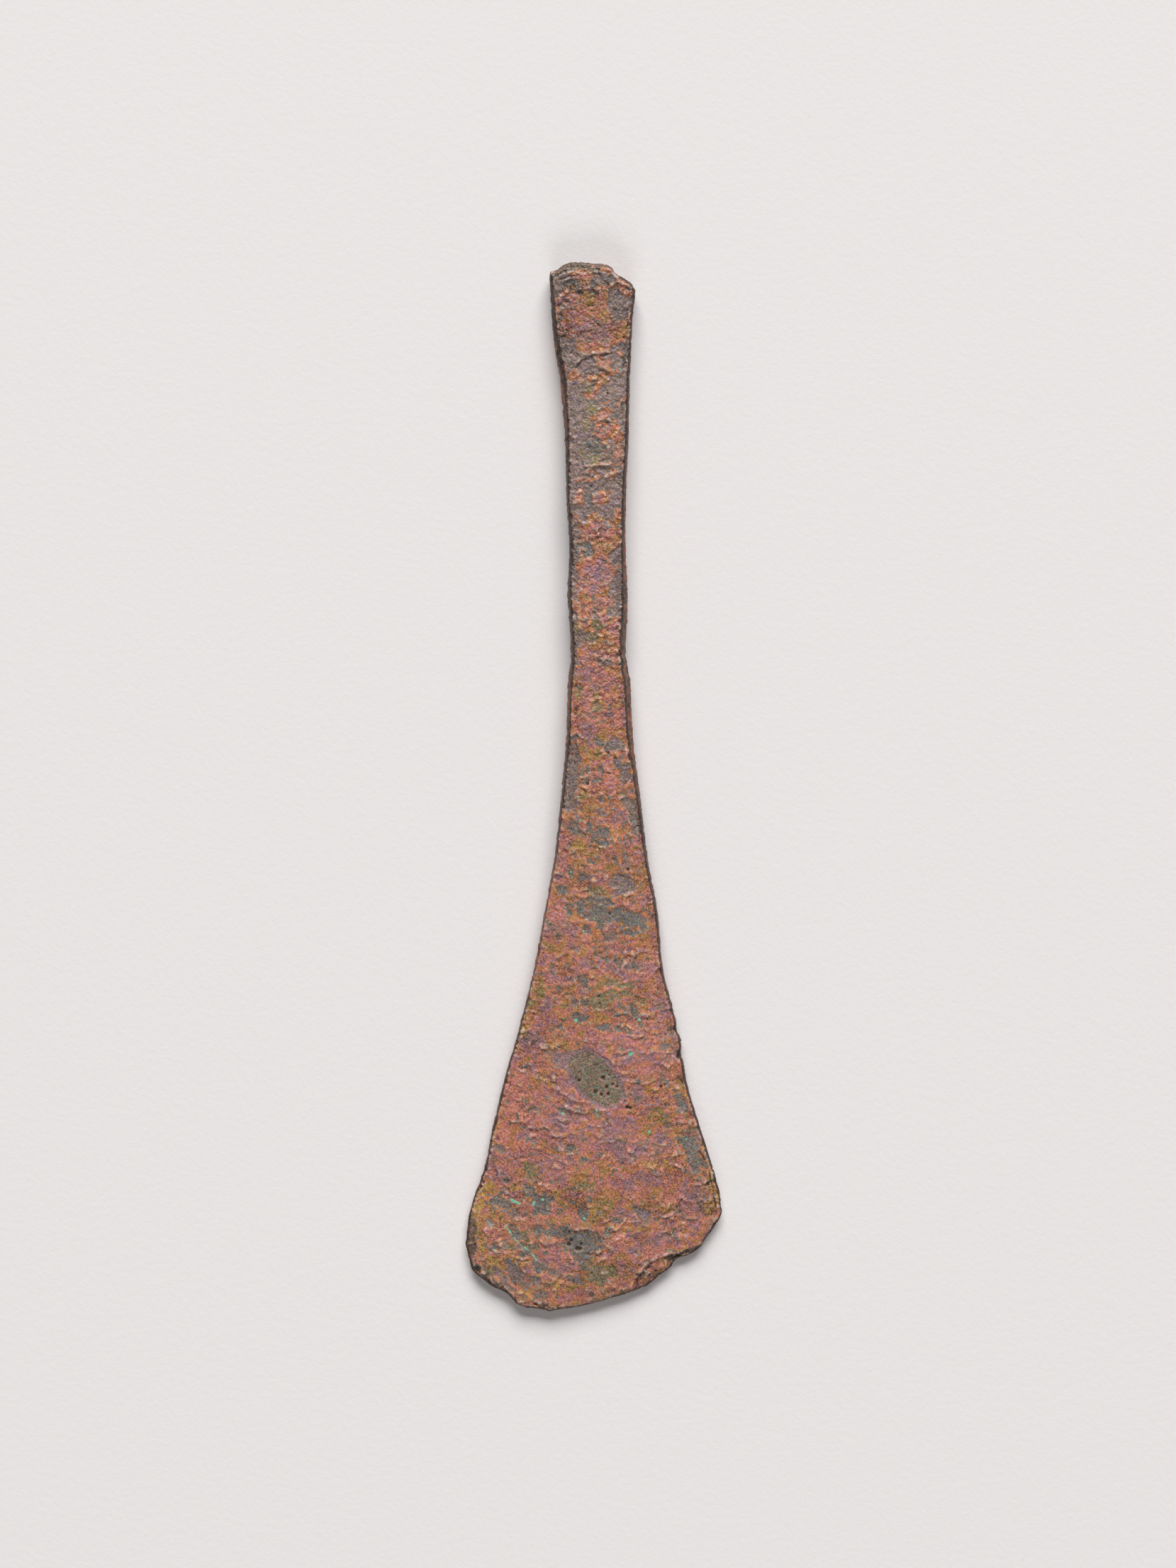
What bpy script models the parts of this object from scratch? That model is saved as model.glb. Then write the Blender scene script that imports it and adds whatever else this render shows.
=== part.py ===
"""Bronze axe head lying flat: a slender shank that flares to a wide, broken cutting edge.

The butt points to +Y and the cutting edge to -Y. The flat underside rests on Z = 0, and the
middle of the length and of the width is at the origin. Left and right are as seen from above.
"""

import bmesh
import bpy
from mathutils import Vector, noise

# Plan sizes, in metres
LENGTH = 0.200
BLADE_WIDTH = 0.0488
NECK_WIDTH = 0.0105
BUTT_WIDTH = 0.0158
# How far the snapped right corner of the butt lies below the top of the butt
BUTT_BREAK = 0.0054
# How far the right corner of the cutting edge is set back from the tip of the edge
EDGE_BREAK = 0.0193

# Thicknesses, and how far the underside rises clear of the ground at the cutting edge
BUTT_THICKNESS = 0.0047
SHANK_THICKNESS = 0.0062
BLADE_THICKNESS = 0.0040
EDGE_THICKNESS = 0.0016
EDGE_LIFT = 0.0008

# The rim, from the upper face's edge out to the outline and back in under the foot
SIDE_BULGE = 0.0008
BUTT_SLOPE = 0.0013
EDGE_BEVEL = 0.0009
FOOT_ROUNDING = 0.0010

# Shallow hammer marks on the upper face
HAMMER_DEPTH = 0.00016
HAMMER_PITCH = 0.0075

# Patina of brown-red copper oxides
PATINA_COLOUR = (0.36, 0.17, 0.12, 1.0)
PATINA_ROUGHNESS = 0.62
PATINA_METALLIC = 0.35

# Squares of the sheet that the two faces are made from
COLUMNS = 24
ROWS = 92

# Share of the length at the narrowest place
NECK = 0.364
# Reach of each side from the axis: share of the length, left, right. 0 is half the neck's width.
# Down to the neck 1 is half the butt's width, and past it 1 is half the blade's width.
SIDES = (
    (0.010, 1.48, 0.66),
    (0.053, 1.34, 0.48),
    (0.082, 1.11, 0.36),
    (0.107, 0.79, 0.27),
    (0.131, 0.59, 0.22),
    (0.163, 0.40, 0.19),
    (0.215, 0.30, 0.03),
    (0.269, 0.08, -0.03),
    (0.323, 0.16, 0.12),
    (NECK, 0.00, 0.00),
    (0.404, 0.025, 0.046),
    (0.458, 0.046, 0.078),
    (0.512, 0.095, 0.151),
    (0.566, 0.158, 0.215),
    (0.620, 0.257, 0.318),
    (0.674, 0.363, 0.370),
    (0.728, 0.504, 0.512),
    (0.782, 0.665, 0.612),
    (0.824, 0.770, 0.740),
    (0.864, 0.862, 0.875),
    (0.891, 0.962, 0.942),
    (0.905, 1.003, 0.956),
    (0.935, 1.046, 0.956),
)
# The snapped end of the butt, from left to right: share of the width, share of the break's drop
BUTT_END = (
    (0.000, 0.36),
    (0.103, 0.24),
    (0.150, 0.10),
    (0.245, 0.00),
    (0.372, 0.00),
    (0.545, 0.04),
    (0.675, 0.05),
    (0.725, 0.17),
    (0.767, 0.36),
    (0.871, 0.57),
    (0.957, 0.75),
    (1.000, 1.00),
)
# The worn and chipped cutting edge, from left to right: share of the width, share of the set-back
CUTTING_EDGE = (
    (0.000, 0.67),
    (0.007, 0.58),
    (0.019, 0.47),
    (0.043, 0.37),
    (0.101, 0.26),
    (0.168, 0.18),
    (0.213, 0.085),
    (0.265, 0.04),
    (0.327, 0.00),
    (0.413, 0.05),
    (0.517, 0.11),
    (0.620, 0.20),
    (0.702, 0.27),
    (0.762, 0.38),
    (0.821, 0.49),
    (0.839, 0.55),
    (0.917, 0.64),
    (0.936, 0.75),
    (0.966, 0.86),
    (1.000, 1.00),
)
# How far the rim stands out past the upper face, as shares of SIDE_BULGE: share of the length,
# left, right. Then the same across the butt, of BUTT_SLOPE, and across the edge, of EDGE_BEVEL.
BULGES = (
    (0.00, 0.2, 0.2),
    (0.10, 1.1, 0.4),
    (0.25, 0.5, 0.7),
    (0.42, 0.9, 1.4),
    (0.60, 0.4, 0.7),
    (0.80, 0.4, 0.5),
    (1.00, 0.7, 0.6),
)
BUTT_SLOPES = ((0.0, 0.2), (0.2, 1.0), (0.5, 0.8), (0.7, 0.3), (1.0, 0.3))
EDGE_BEVELS = ((0.0, 0.7), (0.3, 0.5), (0.55, 1.0), (0.75, 1.5), (0.9, 0.8), (1.0, 0.5))
# Rings of the rim from the upper face down: share of the height, share of the inset above or below
RIM = ((1.0, 1.0), (0.74, 0.3), (0.46, 0.0), (0.18, 0.35), (0.0, 1.0))
BELLY = 2

# Places along the length, as shares of it, where the stated thicknesses are reached
THICKEST = 0.30
BLADE_MIDDLE = 0.74
LIFT_START = 0.84
# How much lower the upper face is beside the rim than on the axis, as shares of the thickness
SHANK_CROWN = 0.07
BLADE_CROWN = 0.16


def curve_through(points, x, column=1):
    """Height at x of a smooth curve through the points, whose first values rise."""
    x = min(max(x, points[0][0]), points[-1][0])
    i = next((k for k in range(1, len(points)) if points[k][0] >= x), len(points) - 1) - 1

    def slope(k):
        before, after = points[max(k - 1, 0)], points[min(k + 1, len(points) - 1)]
        return (after[column] - before[column]) / (after[0] - before[0])

    (x0, y0), (x1, y1) = ((points[k][0], points[k][column]) for k in (i, i + 1))
    step = x1 - x0
    t = (x - x0) / step
    return (
        y0 * (1 + 2 * t) * (1 - t) ** 2
        + y1 * t * t * (3 - 2 * t)
        + step * (slope(i) * t * (1 - t) ** 2 - slope(i + 1) * t * t * (1 - t))
    )


def ease(x, start, end):
    """0 up to start, 1 past end, and smooth between."""
    t = min(max((x - start) / (end - start), 0.0), 1.0)
    return t * t * (3 - 2 * t)


def mix(a, b, share):
    """From a at share 0 to b at share 1."""
    return a * (1 - share) + b * share


def half_width(along, side):
    """Reach from the axis at a share of the length. Side 1 is the left and 2 is the right."""
    full = BUTT_WIDTH if along < NECK else BLADE_WIDTH
    return (NECK_WIDTH + curve_through(SIDES, along, side) * (full - NECK_WIDTH)) / 2


def side_point(side, down):
    """A point on the left or right side. down is 0 at the butt's corner and 1 at the edge's."""
    end = 0 if side == 1 else -1
    top = BUTT_END[end][1] * BUTT_BREAK
    bottom = LENGTH - CUTTING_EDGE[end][1] * EDGE_BREAK
    y = mix(top, bottom, down)
    reach = half_width(y / LENGTH, side)
    return Vector((-reach if side == 1 else reach, -y))


def end_line(table, drop, start, down):
    """The points of a broken end, between the two sides' corners."""
    left, right = side_point(1, down), side_point(2, down)
    return [Vector((mix(left.x, right.x, a), start - share * drop)) for a, share in table]


def point_along(line, share):
    """The point at this share of a broken line's own length."""
    lengths = [(b - a).length for a, b in zip(line, line[1:])]
    left = share * sum(lengths)
    for a, b, length in zip(line, line[1:], lengths):
        if left <= length:
            return a.lerp(b, left / length)
        left -= length
    return line[-1].copy()


def sampled_end(line):
    """Evenly spaced points along a broken end, the nearest one moved to its outermost point."""
    points = [point_along(line, column / COLUMNS) for column in range(COLUMNS + 1)]
    tip = max(line, key=lambda point: abs(point.y + LENGTH / 2))
    nearest = min(points, key=lambda point: (point - tip).length)
    nearest.x, nearest.y = tip.x, tip.y
    return points


def outline():
    """The outermost line in plan, as a dict from the sheet's (column, row) to a point."""
    butt = sampled_end(end_line(BUTT_END, BUTT_BREAK, 0.0, 0.0))
    edge = sampled_end(end_line(CUTTING_EDGE, -EDGE_BREAK, -LENGTH, 1.0))
    ring = {}
    for row in range(ROWS + 1):
        ring[0, row] = side_point(1, row / ROWS)
        ring[COLUMNS, row] = side_point(2, row / ROWS)
    for column in range(COLUMNS + 1):
        ring[column, 0] = butt[column]
        ring[column, ROWS] = edge[column]
    return ring


def loop_order():
    """The rim's (column, row) places in order round the sheet, so that the outside is on the left."""
    down_left = [(0, row) for row in range(ROWS)]
    along_edge = [(column, ROWS) for column in range(COLUMNS)]
    up_right = [(COLUMNS, row) for row in range(ROWS, 0, -1)]
    back = [(column, 0) for column in range(COLUMNS, 0, -1)]
    return down_left + along_edge + up_right + back


def inward_directions(ring):
    """At each place of the rim, the unit vector that points into the outline."""
    order = loop_order()
    inward = {}
    for k, place in enumerate(order):
        run = ring[order[(k + 1) % len(order)]] - ring[order[k - 1]]
        inward[place] = Vector((-run.y, run.x)).normalized()
    return inward


def upper_inset(column, row):
    """How far the upper face's edge lies inside the outline."""
    along, across = row / ROWS, column / COLUMNS
    side = SIDE_BULGE * mix(
        curve_through(BULGES, along, 1), curve_through(BULGES, along, 2), across
    )
    butt = BUTT_SLOPE * curve_through(BUTT_SLOPES, across)
    edge = EDGE_BEVEL * curve_through(EDGE_BEVELS, across)
    if row == 0:
        return butt
    return edge if row == ROWS else side


def ring_points(ring, inward, inset):
    """The outline drawn in by an inset that may differ from place to place."""
    return {place: ring[place] + inward[place] * inset(*place) for place in ring}


def sheet_point(ring, column, row):
    """A point inside the ring, blended from the four sides of the sheet."""
    u, v = column / COLUMNS, row / ROWS
    across = mix(ring[0, row], ring[COLUMNS, row], u)
    along = mix(ring[column, 0], ring[column, ROWS], v)
    top = mix(ring[0, 0], ring[COLUMNS, 0], u)
    bottom = mix(ring[0, ROWS], ring[COLUMNS, ROWS], u)
    return across + along - mix(top, bottom, v)


def thickness(along):
    """Thickness on the axis, from the butt through the shank and the blade to the edge."""
    places = (
        (0.0, BUTT_THICKNESS),
        (THICKEST, SHANK_THICKNESS),
        (BLADE_MIDDLE, BLADE_THICKNESS),
        (1.0, EDGE_THICKNESS),
    )
    return curve_through(places, along)


def underside_height(along):
    """The underside is flat, and rises a little to the cutting edge."""
    return EDGE_LIFT * ease(along, LIFT_START, 1.0)


def upper_height(point, column, row):
    """Height of the upper face: crowned across, and dimpled by the hammer away from the rim."""
    along, across = row / ROWS, column / COLUMNS
    crown = mix(SHANK_CROWN, BLADE_CROWN, ease(along, NECK, BLADE_MIDDLE))
    fall = crown * abs(2 * across - 1) ** 2.5
    marks = HAMMER_DEPTH * noise.noise(Vector((*point, 0.0)) / HAMMER_PITCH)
    return underside_height(along) + thickness(along) * (1 - fall) + marks


def add_sheet(bm, ring, height_at):
    """A grid of squares inside the ring. Its vertices remember their column and row."""
    column_layer = bm.verts.layers.int["column"]
    row_layer = bm.verts.layers.int["row"]
    made = bmesh.ops.create_grid(bm, x_segments=COLUMNS, y_segments=ROWS, size=0.5)["verts"]
    for vert in made:
        column = round((vert.co.x + 0.5) * COLUMNS)
        row = round((0.5 - vert.co.y) * ROWS)
        point = sheet_point(ring, column, row)
        vert.co = (*point, height_at(point, column, row))
        vert[column_layer], vert[row_layer] = column, row
    return made


def add_rim(bm, upper, ring, inward):
    """Bands from the upper sheet's border, out to the belly and in again to the foot."""
    column_layer = bm.verts.layers.int["column"]
    row_layer = bm.verts.layers.int["row"]
    top_of = {(v[column_layer], v[row_layer]): v.co.z for v in upper}
    border = [e for e in bm.edges if e.is_boundary and e.verts[0] in upper]
    for level, (height_share, inset_share) in enumerate(RIM[1:], 1):
        made = bmesh.ops.extrude_edge_only(bm, edges=border)["geom"]
        border = [g for g in made if isinstance(g, bmesh.types.BMEdge)]
        for vert in (g for g in made if isinstance(g, bmesh.types.BMVert)):
            place = vert[column_layer], vert[row_layer]
            inset = upper_inset(*place) if level < BELLY else FOOT_ROUNDING
            point = ring[place] + inward[place] * inset * inset_share
            low = underside_height(place[1] / ROWS)
            vert.co = (*point, mix(low, top_of[place], height_share))


def build_mesh():
    bm = bmesh.new()
    bm.verts.layers.int.new("column")
    bm.verts.layers.int.new("row")
    ring = outline()
    inward = inward_directions(ring)
    upper_ring = ring_points(ring, inward, upper_inset)
    lower_ring = ring_points(ring, inward, lambda column, row: FOOT_ROUNDING)
    upper = add_sheet(bm, upper_ring, upper_height)
    add_rim(bm, set(upper), ring, inward)
    add_sheet(bm, lower_ring, lambda point, column, row: underside_height(row / ROWS))
    bmesh.ops.remove_doubles(bm, verts=bm.verts, dist=1e-6)
    bmesh.ops.recalc_face_normals(bm, faces=bm.faces)
    centre_on_origin(bm)
    return bm


def centre_on_origin(bm):
    xs = [v.co.x for v in bm.verts]
    ys = [v.co.y for v in bm.verts]
    middle = Vector((min(xs) + max(xs), min(ys) + max(ys), 0.0)) / 2
    bmesh.ops.translate(bm, verts=bm.verts, vec=-middle)


def patina_material():
    material = bpy.data.materials.new("bronze_patina")
    material.use_nodes = True
    shader = material.node_tree.nodes["Principled BSDF"]
    shader.inputs["Base Color"].default_value = PATINA_COLOUR
    shader.inputs["Roughness"].default_value = PATINA_ROUGHNESS
    shader.inputs["Metallic"].default_value = PATINA_METALLIC
    return material


def main():
    for thing in list(bpy.data.objects):
        bpy.data.objects.remove(thing)
    mesh = bpy.data.meshes.new("axe_head")
    bm = build_mesh()
    bm.to_mesh(mesh)
    bm.free()
    mesh.materials.append(patina_material())
    mesh.shade_smooth()
    mesh.set_sharp_from_angle(angle=0.6)
    axe_head = bpy.data.objects.new("axe_head", mesh)
    bpy.context.scene.collection.objects.link(axe_head)


main()
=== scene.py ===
"""A bronze axe head with a rough, many-coloured patina, lying on pale paper.

The surface is worked on a fine copy of the plain casting. A place on it is given as it lies in the
photograph, in pixels of the 1659 by 2212 frame, and turned into metres by the casting's own length.
"""

import math

import bpy
import numpy as np
from mathutils import Euler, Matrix, Vector, kdtree, noise


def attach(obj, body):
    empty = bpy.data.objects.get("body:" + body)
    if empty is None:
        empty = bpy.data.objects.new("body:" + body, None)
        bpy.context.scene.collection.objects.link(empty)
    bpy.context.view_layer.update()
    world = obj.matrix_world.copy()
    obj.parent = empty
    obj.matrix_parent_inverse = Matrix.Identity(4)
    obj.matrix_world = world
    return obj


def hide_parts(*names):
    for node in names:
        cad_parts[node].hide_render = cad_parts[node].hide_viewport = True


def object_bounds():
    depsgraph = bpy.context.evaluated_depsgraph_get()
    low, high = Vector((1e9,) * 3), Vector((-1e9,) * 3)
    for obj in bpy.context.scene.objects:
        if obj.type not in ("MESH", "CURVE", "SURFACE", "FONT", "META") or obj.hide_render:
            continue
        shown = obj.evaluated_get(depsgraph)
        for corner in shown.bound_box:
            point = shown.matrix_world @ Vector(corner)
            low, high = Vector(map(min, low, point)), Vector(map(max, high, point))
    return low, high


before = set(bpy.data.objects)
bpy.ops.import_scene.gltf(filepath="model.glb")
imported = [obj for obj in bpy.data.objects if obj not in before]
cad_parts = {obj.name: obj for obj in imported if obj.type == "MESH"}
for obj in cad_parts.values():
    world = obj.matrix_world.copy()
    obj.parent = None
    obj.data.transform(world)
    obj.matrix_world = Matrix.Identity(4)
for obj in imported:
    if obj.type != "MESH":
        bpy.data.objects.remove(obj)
CAD_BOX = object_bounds()

bl_info = {
    "name": "Patinated Axe Head",
    "version": (1, 0, 0),
    "blender": (4, 5, 0),
    "location": "View3D > Sidebar > Axe Head",
    "description": "Works the corroded surface of a bronze axe head and lays it on paper",
    "category": "Object",
}

CASTING = "axe_head"
SURFACE = "axe_head_surface"
MM = 0.001

# The photograph's frame, and where the axe head lies in it, in pixels
FRAME_WIDTH = 1659
FRAME_HEIGHT = 2212
HEAD_LENGTH = 1481
HEAD_MIDDLE = (837.3, 1110.5)
PIXEL = (CAD_BOX[1].y - CAD_BOX[0].y) / HEAD_LENGTH

# How far inside and outside its edge a mask is measured, in millimetres
REACH = 1.5

# The turn of every noise, which keeps its lattice out of line with the flat face, and how far apart
# the noises of two seeds lie, in lumps
NOISE_TURN = (0.7, 0.5, 1.1)
LATTICE = np.array(Euler(NOISE_TURN).to_matrix())
SEED_SHIFT = 7.31

# How far the edges of patches wander, and the length over which a line's ends fade, both in pixels
WANDER = 5.0
END_FADE = 6

# A lip's swell and drop in millimetres, and the part of a step over which a lip falls away
LIP_SWELL = 0.9
LIP_DROP = 0.25
LIP_FALL = 0.4

# Points whose normals point down by more than this are on the underside
UNDERSIDE_FACING = -0.6

# How many times hollowness spreads each point's place to its neighbours
SPREAD_ROUNDS = 4

# Patches of the patina: x, y, half length, half width, and the turn of the length towards the lower
# right in degrees. An orange and rose crust lies over a greyer skin. The grey of the skin shows in
# windows of three kinds, and islands of the crust stand on the bare skin of the shank.
MAUVE = (
    (842, 612, 132, 62, 90), (788, 399, 14, 18, 0), (850, 394, 16, 12, 0), (874, 428, 26, 17, 78),
    (800, 495, 20, 14, 90), (880, 490, 12, 8, 0), (811, 762, 40, 8, 90), (874, 785, 14, 11, 90),
    (873, 830, 24, 12, 90), (868, 864, 12, 9, 0), (808, 815, 34, 6, 90), (807, 888, 28, 8, 90),
    (816, 898, 16, 12, 0), (810, 925, 26, 6, 90), (842, 872, 8, 4, 80), (857, 939, 16, 5, 30),
    (808, 1052, 16, 7, 90), (810, 1078, 24, 9, 90), (806, 1102, 16, 10, 90), (800, 1126, 18, 9, 80),
    (811, 1138, 15, 7, 80), (870, 1050, 13, 10, 20), (874, 1072, 7, 6, 0), (882, 1092, 13, 6, 90),
    (846, 1128, 7, 4, 0), (846, 1146, 8, 4, 0), (888, 1136, 14, 8, 40), (896, 1152, 10, 8, 60),
    (898, 1167, 9, 6, 0), (878, 1243, 17, 12, 0), (886, 1252, 11, 9, 0), (872, 1258, 9, 5, 0),
    (882, 1214, 11, 4, 80), (824, 1238, 9, 7, 0), (828, 1313, 7, 5, 0), (812, 1338, 8, 5, 0),
    (843, 1346, 9, 4, -10), (890, 1363, 8, 4, 0), (810, 1414, 8, 6, 80), (862, 1322, 12, 5, -30),
    (784, 1492, 16, 8, 50), (705, 1617, 8, 6, 0), (728, 1798, 24, 9, 60), (752, 1808, 9, 8, 0),
    (905, 1712, 16, 7, 35), (936, 1476, 12, 6, -20), (962, 1558, 14, 7, 80), (700, 1797, 18, 6, 35),
    (718, 1816, 14, 5, 40), (764, 1828, 12, 6, 15), (744, 1764, 7, 5, 0), (700, 1757, 6, 5, 0),
    (782, 1797, 9, 4, 20), (812, 1806, 14, 5, 0), (690, 1722, 7, 4, 40), (733, 1757, 6, 4, 0),
    (724, 1712, 10, 5, 0), (872, 1722, 9, 5, 0), (846, 1760, 6, 5, 0),
)
SLATE = (
    (838, 632, 14, 10, 0), (829, 776, 11, 7, 20), (830, 706, 12, 6, 85), (843, 1048, 8, 5, 20),
    (856, 1054, 6, 5, 0), (824, 1090, 6, 4, 0), (838, 1089, 4, 4, 0), (846, 1087, 5, 4, 0),
    (847, 1099, 4, 3, 0), (821, 1103, 9, 6, 0), (871, 1080, 6, 4, 0), (811, 1168, 11, 8, 50),
    (822, 1178, 6, 4, 80), (832, 1166, 11, 5, 80), (846, 1172, 14, 9, 0), (842, 1184, 14, 6, 20),
    (851, 1190, 8, 5, 0), (838, 1214, 9, 4, -20), (865, 1210, 4, 4, 0), (891, 1172, 8, 4, 0),
    (806, 1232, 9, 4, 80), (792, 1257, 8, 7, 0), (801, 1278, 5, 5, 0), (803, 1287, 4, 3, 0),
    (820, 1282, 12, 8, 40), (843, 1268, 19, 6, 0), (845, 1290, 22, 13, 25), (848, 1309, 8, 6, 60),
    (890, 1297, 21, 14, 20), (870, 1291, 16, 10, 0), (905, 1305, 13, 6, 80), (858, 1275, 9, 5, 0),
    (888, 1315, 12, 4, 0), (790, 1320, 6, 4, 0), (858, 1351, 6, 3, 0), (874, 1357, 5, 5, 0),
    (778, 1362, 3, 3, 0), (823, 1385, 9, 7, 80), (826, 1415, 8, 5, 60), (815, 1435, 10, 8, 0),
    (866, 1427, 6, 4, 0), (893, 1425, 10, 7, 60), (789, 1448, 9, 4, 0), (850, 1448, 14, 5, 10),
    (876, 1452, 14, 4, 20), (945, 1452, 9, 5, 60), (793, 1568, 5, 4, 0), (843, 1571, 5, 4, 0),
    (750, 1565, 5, 4, 0), (960, 1556, 12, 8, 70), (972, 1618, 22, 13, 65), (983, 1641, 13, 8, 65),
    (806, 1619, 9, 6, 0), (824, 1636, 6, 4, 0), (942, 1586, 6, 5, 0), (820, 1437, 6, 6, 0),
    (708, 1698, 18, 9, 15), (748, 1681, 9, 7, 60), (762, 1698, 15, 10, 30), (758, 1710, 9, 5, 0),
    (772, 1689, 8, 6, 40), (822, 1711, 9, 7, 70), (764, 1736, 12, 7, 10), (792, 1738, 26, 9, 5),
    (727, 1737, 11, 6, 60), (715, 1752, 9, 5, 80), (762, 1788, 11, 5, 35), (735, 1770, 6, 5, 60),
    (755, 1757, 6, 4, 0), (718, 1783, 6, 5, 0), (818, 1757, 24, 20, 10), (840, 1748, 9, 8, 0),
    (858, 1741, 4, 3, 0), (716, 1667, 6, 4, 0), (700, 1763, 5, 4, 0), (858, 1735, 5, 4, 0),
    (868, 1430, 5, 4, 0), (896, 1552, 4, 3, 0),
)
OLIVE = (
    (829, 548, 10, 7, 80), (835, 580, 12, 8, 80), (828, 600, 8, 6, 0), (842, 650, 14, 7, 0),
    (822, 640, 10, 6, 80), (811, 884, 9, 6, 80), (843, 886, 10, 7, 80), (834, 900, 7, 6, 0),
    (818, 973, 10, 6, 80), (843, 997, 7, 5, 0), (878, 1117, 6, 5, 0), (842, 1257, 13, 7, 10),
    (868, 1388, 16, 6, 10), (890, 1392, 8, 7, 0), (845, 1413, 16, 12, -20), (859, 1405, 8, 7, 0),
    (747, 1650, 12, 8, 80), (752, 1660, 7, 5, 60), (843, 1800, 18, 13, 60), (860, 1795, 12, 9, 0),
    (740, 1745, 8, 6, 70), (720, 1760, 6, 5, 0), (825, 1672, 12, 6, 0), (762, 1745, 6, 5, 0),
    (830, 1780, 8, 6, 0), (690, 1795, 10, 5, 50), (880, 1402, 16, 5, 0), (905, 1410, 8, 5, 0),
    (868, 1826, 14, 4, -8), (742, 1758, 8, 5, 0), (746, 1416, 12, 5, 80), (796, 372, 14, 7, 0),
    (826, 376, 12, 6, 0), (848, 374, 8, 5, 0),
)
CRUST = (
    (817, 386, 14, 8, 10), (825, 397, 7, 8, 0), (853, 378, 17, 8, 10), (881, 402, 20, 12, 50),
    (825, 440, 36, 27, 12), (834, 470, 36, 17, 10), (872, 469, 16, 12, 0), (840, 490, 24, 10, 0),
    (847, 508, 8, 7, 0), (856, 513, 5, 4, 0), (882, 503, 5, 4, -30), (852, 520, 18, 6, 10),
    (848, 536, 17, 8, 20), (812, 531, 8, 8, 0), (832, 559, 8, 6, 0), (843, 550, 8, 4, -45),
    (856, 570, 4, 3, 0), (852, 586, 15, 7, -20), (853, 608, 18, 15, 0), (869, 612, 13, 8, 80),
    (853, 631, 7, 5, 0), (872, 640, 13, 6, 60), (846, 658, 20, 3, -6), (829, 665, 5, 4, 40),
    (864, 671, 11, 4, -30), (818, 704, 9, 9, 60), (845, 703, 13, 11, -10), (840, 741, 11, 13, 0),
    (850, 752, 26, 16, 0), (873, 733, 12, 8, 90), (812, 618, 3, 2, 0), (806, 643, 5, 3, 0),
    (877, 565, 5, 4, 0), (818, 676, 6, 3, -30), (835, 678, 12, 3, -20),
)

# Places where the crust is redder, more orange, browner or yellower than the rest
ROSE = (
    (822, 446, 30, 10, 0), (830, 472, 30, 13, 10), (850, 480, 18, 10, 60), (797, 428, 10, 8, 0),
    (853, 608, 13, 11, 0), (848, 590, 10, 5, -20), (852, 752, 16, 10, 0), (810, 702, 6, 9, 0),
    (842, 812, 19, 23, 0), (860, 855, 16, 10, 0), (846, 872, 10, 8, 0), (826, 950, 14, 12, 0),
    (832, 979, 9, 8, 0), (835, 925, 10, 8, 0), (855, 962, 10, 7, 0), (834, 1008, 10, 6, -20),
    (824, 1036, 14, 10, 0), (856, 1012, 18, 10, 30), (862, 1110, 13, 10, 0), (878, 1153, 16, 10, 10),
    (860, 1078, 9, 6, -20), (805, 1186, 11, 8, -40), (853, 1245, 8, 12, 0), (790, 1232, 8, 8, 0),
    (788, 1298, 12, 16, 0), (780, 1315, 14, 12, 0), (806, 1306, 8, 6, 0), (860, 1322, 14, 8, -30),
    (824, 1358, 13, 9, 0), (842, 1355, 8, 9, 0), (880, 1341, 10, 6, 0), (905, 1368, 20, 12, 0),
    (885, 1375, 14, 8, 0), (862, 1365, 12, 8, 0), (780, 1378, 12, 12, 0), (772, 1418, 16, 10, 0),
    (925, 1418, 12, 10, 30), (875, 1405, 6, 6, 0), (868, 1467, 20, 7, 0), (905, 1484, 20, 7, 0),
    (935, 1425, 14, 10, 0), (890, 1495, 12, 9, 40), (927, 1505, 14, 8, -30), (745, 1465, 16, 14, 0),
    (792, 1546, 14, 8, 30), (800, 1572, 36, 13, 10), (757, 1600, 22, 8, 10), (820, 1600, 24, 8, 0),
    (865, 1595, 34, 18, 0), (880, 1620, 36, 18, 0), (936, 1615, 18, 12, 0), (772, 1650, 22, 14, 30),
    (712, 1658, 18, 14, 0), (690, 1640, 10, 12, 0), (805, 1640, 16, 9, 30), (980, 1690, 24, 18, 70),
    (925, 1748, 30, 16, 0), (895, 1725, 14, 10, 0), (918, 1662, 20, 9, 0), (876, 1715, 14, 9, 0),
    (778, 1765, 13, 14, 0), (765, 1780, 12, 8, 30), (742, 1795, 9, 12, 0), (700, 1745, 8, 7, 0),
    (812, 1786, 18, 7, -10), (778, 1808, 12, 7, 20), (765, 1725, 14, 6, -20), (857, 1612, 30, 10, 0),
)
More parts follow.
